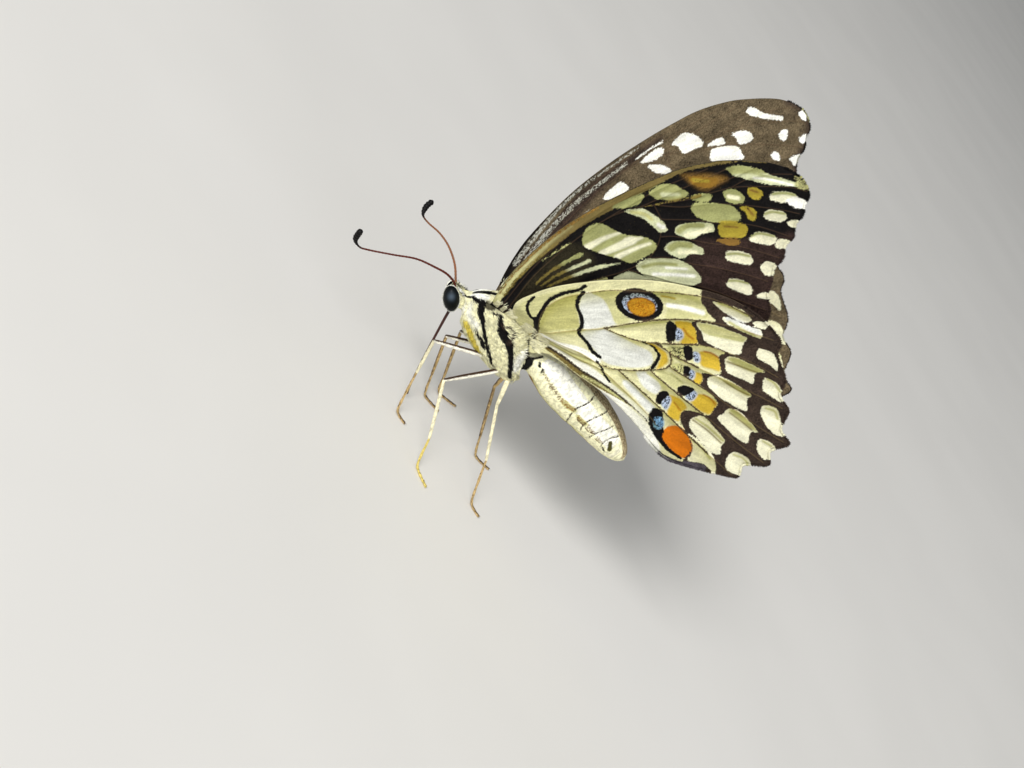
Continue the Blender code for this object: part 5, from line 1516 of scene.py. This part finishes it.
TARSUS_JOINTS = np.array([0.0, 0.44, 0.62, 0.77, 0.88, 1.0])
FOOT_HEIGHT = 0.16
LEG_STEP = 0.08
FOOT_STEP = 0.05
LEG_SCALES_PER_MM = 45
LEG_EDGE = 1.2
LEG_CREAM = srgb(232, 224, 188)
LEG_WHITE = srgb(238, 234, 216)
LEG_TAN = srgb(198, 170, 118)
LEG_YELLOW = srgb(216, 196, 110)
LEG_DARK = srgb(58, 38, 26)
# Femur, tibia and tarsus: the pale colour, and the dark one's reach from -1 all round to 1 nowhere
LEG_COLOURS = {
    "fore_left": ((LEG_WHITE, 0.5), (LEG_CREAM, 0.5), (LEG_TAN, 0.35)),
    "mid_left": ((LEG_WHITE, 0.5), (LEG_CREAM, 0.9), (LEG_YELLOW, 0.95)),
    "hind_left": ((LEG_CREAM, 0.8), (LEG_CREAM, 0.7), (LEG_TAN, 0.5)),
    "fore_right": ((LEG_WHITE, 0.4), (LEG_TAN, -0.05), (LEG_TAN, 0.1)),
    "mid_right": ((LEG_WHITE, 0.4), (LEG_TAN, 0.0), (LEG_TAN, 0.1)),
    "hind_right": ((LEG_TAN, 0.1), (LEG_TAN, -0.1), (LEG_TAN, 0.1))}
LEG_TOP = unit((-0.70, 0.0, 0.71))


def leg_stretch(points, radii, look, seed):
    """One stretch of a leg, dark along its top, with flat scales along it."""
    path = smooth_path(points, LEG_STEP)
    travel = travel_along(path)
    radius = np.interp(travel / travel[-1], np.linspace(0, 1, len(radii)), radii)
    shape, faces, along, out = tube(path, radius, TUBE_SIDES)
    tint, reach = look
    edge = np.interp(along, travel, radius) * (out @ LEG_TOP - reach) * LEG_EDGE
    layers = {**even_layers(len(shape), edge, tint, LEG_DARK), "place": shape}
    random = np.random.default_rng(seed)
    count = int(travel[-1] * LEG_SCALES_PER_MM)
    chosen = random.integers(0, len(path) - 1, count)
    angle = random.uniform(0, 2 * math.pi, count)
    heading = unit(np.gradient(path, axis=0))[chosen]
    side = unit(np.cross(heading, LEG_TOP))
    normal = np.cos(angle)[:, None] * side + np.sin(angle)[:, None] * np.cross(side, heading)
    roots = path[chosen] + normal * (radius[chosen] * 0.92)[:, None]
    scales, scale_faces = blades(
        roots, heading + normal * 0.16, normal, random.uniform(0.14, 0.24, count), width=0.055,
        thickness=0.2, waist=0.6, curl=0.08)
    edge = per_blade(radius[chosen] * (normal @ LEG_TOP - reach) * LEG_EDGE)
    scale_layers = {**even_layers(len(scales), edge, tint, LEG_DARK), "place": per_blade(roots)}
    return [(shape, faces, layers), (scales, scale_faces, scale_layers)]


def make_legs(material):
    """Six legs of femur, tibia and a tarsus of five segments."""
    for index, (leg, points) in enumerate(LEGS.items()):
        path = body_points(points)
        hip, knee, ankle, foot = path[0], path[1], path[2], path[2:]
        femur, tibia, tarsus = LEG_COLOURS[leg]
        parts = leg_stretch([hip, knee], (0.24, 0.26, 0.24, 0.17), femur, SEED + index)
        parts += leg_stretch([knee, ankle], (0.16, 0.17, 0.17, 0.16, 0.14), tibia, SEED + index + 10)
        foot = smooth_path(foot, FOOT_STEP)
        travel = travel_along(foot)
        joints = travel[-1] * TARSUS_JOINTS
        for start, end in zip(joints, joints[1:]):
            along = np.linspace(start, end + 0.06, 5)
            stations = np.stack([np.interp(along, travel, foot[:, k]) for k in range(3)], axis=1)
            stations[:, 2] = np.maximum(stations[:, 2], FOOT_HEIGHT)
            parts += leg_stretch(stations, (0.1, 0.11, 0.12, 0.14, 0.11), tarsus,
                                 SEED + index + 20)
        points, faces, layers = join_parts(parts)
        names = [f"leg_{leg}_{part}" for part in ("femur", "tibia", "tarsus")]
        make_piece(f"leg_{leg}", points, faces, material, names, layers)


# Floor, light and camera

def make_floor():
    """A plain pale floor."""
    half = FLOOR_HALF
    corners = [(-half, -half, 0.0), (half, -half, 0.0), (half, half, 0.0), (-half, half, 0.0)]
    nodes = Nodes("pale_floor")
    place = nodes.add("TexCoord").outputs["Object"]
    tone = nodes.span(nodes.noise(place, 30.0, 2.0), 0.3, 0.7, 0.97, 1.0)
    colour = nodes.brighten(srgb(232, 229, 223), tone)
    material = nodes.finish(Base_Color=colour, Roughness=0.9, Specular_IOR_Level=0.2)
    mesh = bpy.data.meshes.new("floor")
    mesh.from_pydata((np.array(corners) * MM).tolist(), [], [(0, 1, 2, 3)])
    mesh.materials.append(material)
    floor = add_object("floor", mesh)


def make_lights():
    """Soft studio light: a large key light, a fill and an even sky."""
    scene = bpy.context.scene
    world = bpy.data.worlds.new("studio")
    world.use_nodes = True
    background = world.node_tree.nodes["Background"]
    background.inputs["Color"].default_value = SKY_COLOUR
    background.inputs["Strength"].default_value = SKY_STRENGTH
    scene.world = world
    for name, (direction, power, size) in LIGHTS.items():
        lamp = bpy.data.lights.new(name, "AREA")
        lamp.energy = power
        lamp.size = size
        light = add_object(name, lamp)
        towards = Vector(direction).normalized()
        light.location = Vector(VIEW_TARGET) * MM + towards * LIGHT_DISTANCE_M
        light.rotation_euler = towards.to_track_quat("Z", "Y").to_euler()
    scene.view_settings.view_transform = "Standard"


def make_camera():
    """The camera at the photo's angle."""
    back = Vector(VIEW_DIRECTION).normalized()
    right = Vector(VIEW_UP).cross(back).normalized()
    up = back.cross(right)
    lens = bpy.data.cameras.new("camera")
    lens.lens = LENS_MM
    lens.sensor_width = SENSOR_MM
    lens.clip_start = CLIP_START_M
    camera = add_object("camera", lens)
    turn = Matrix((right, up, back)).transposed().to_4x4()
    place = Vector(VIEW_TARGET) * MM + back * VIEW_DISTANCE * MM
    camera.matrix_world = Matrix.Translation(place) @ turn
    bpy.context.scene.camera = camera


make_camera()
make_lights()
make_floor()
make_wings()
make_body()
make_eyes()
make_antennae()
make_proboscis()
make_legs(body_material())
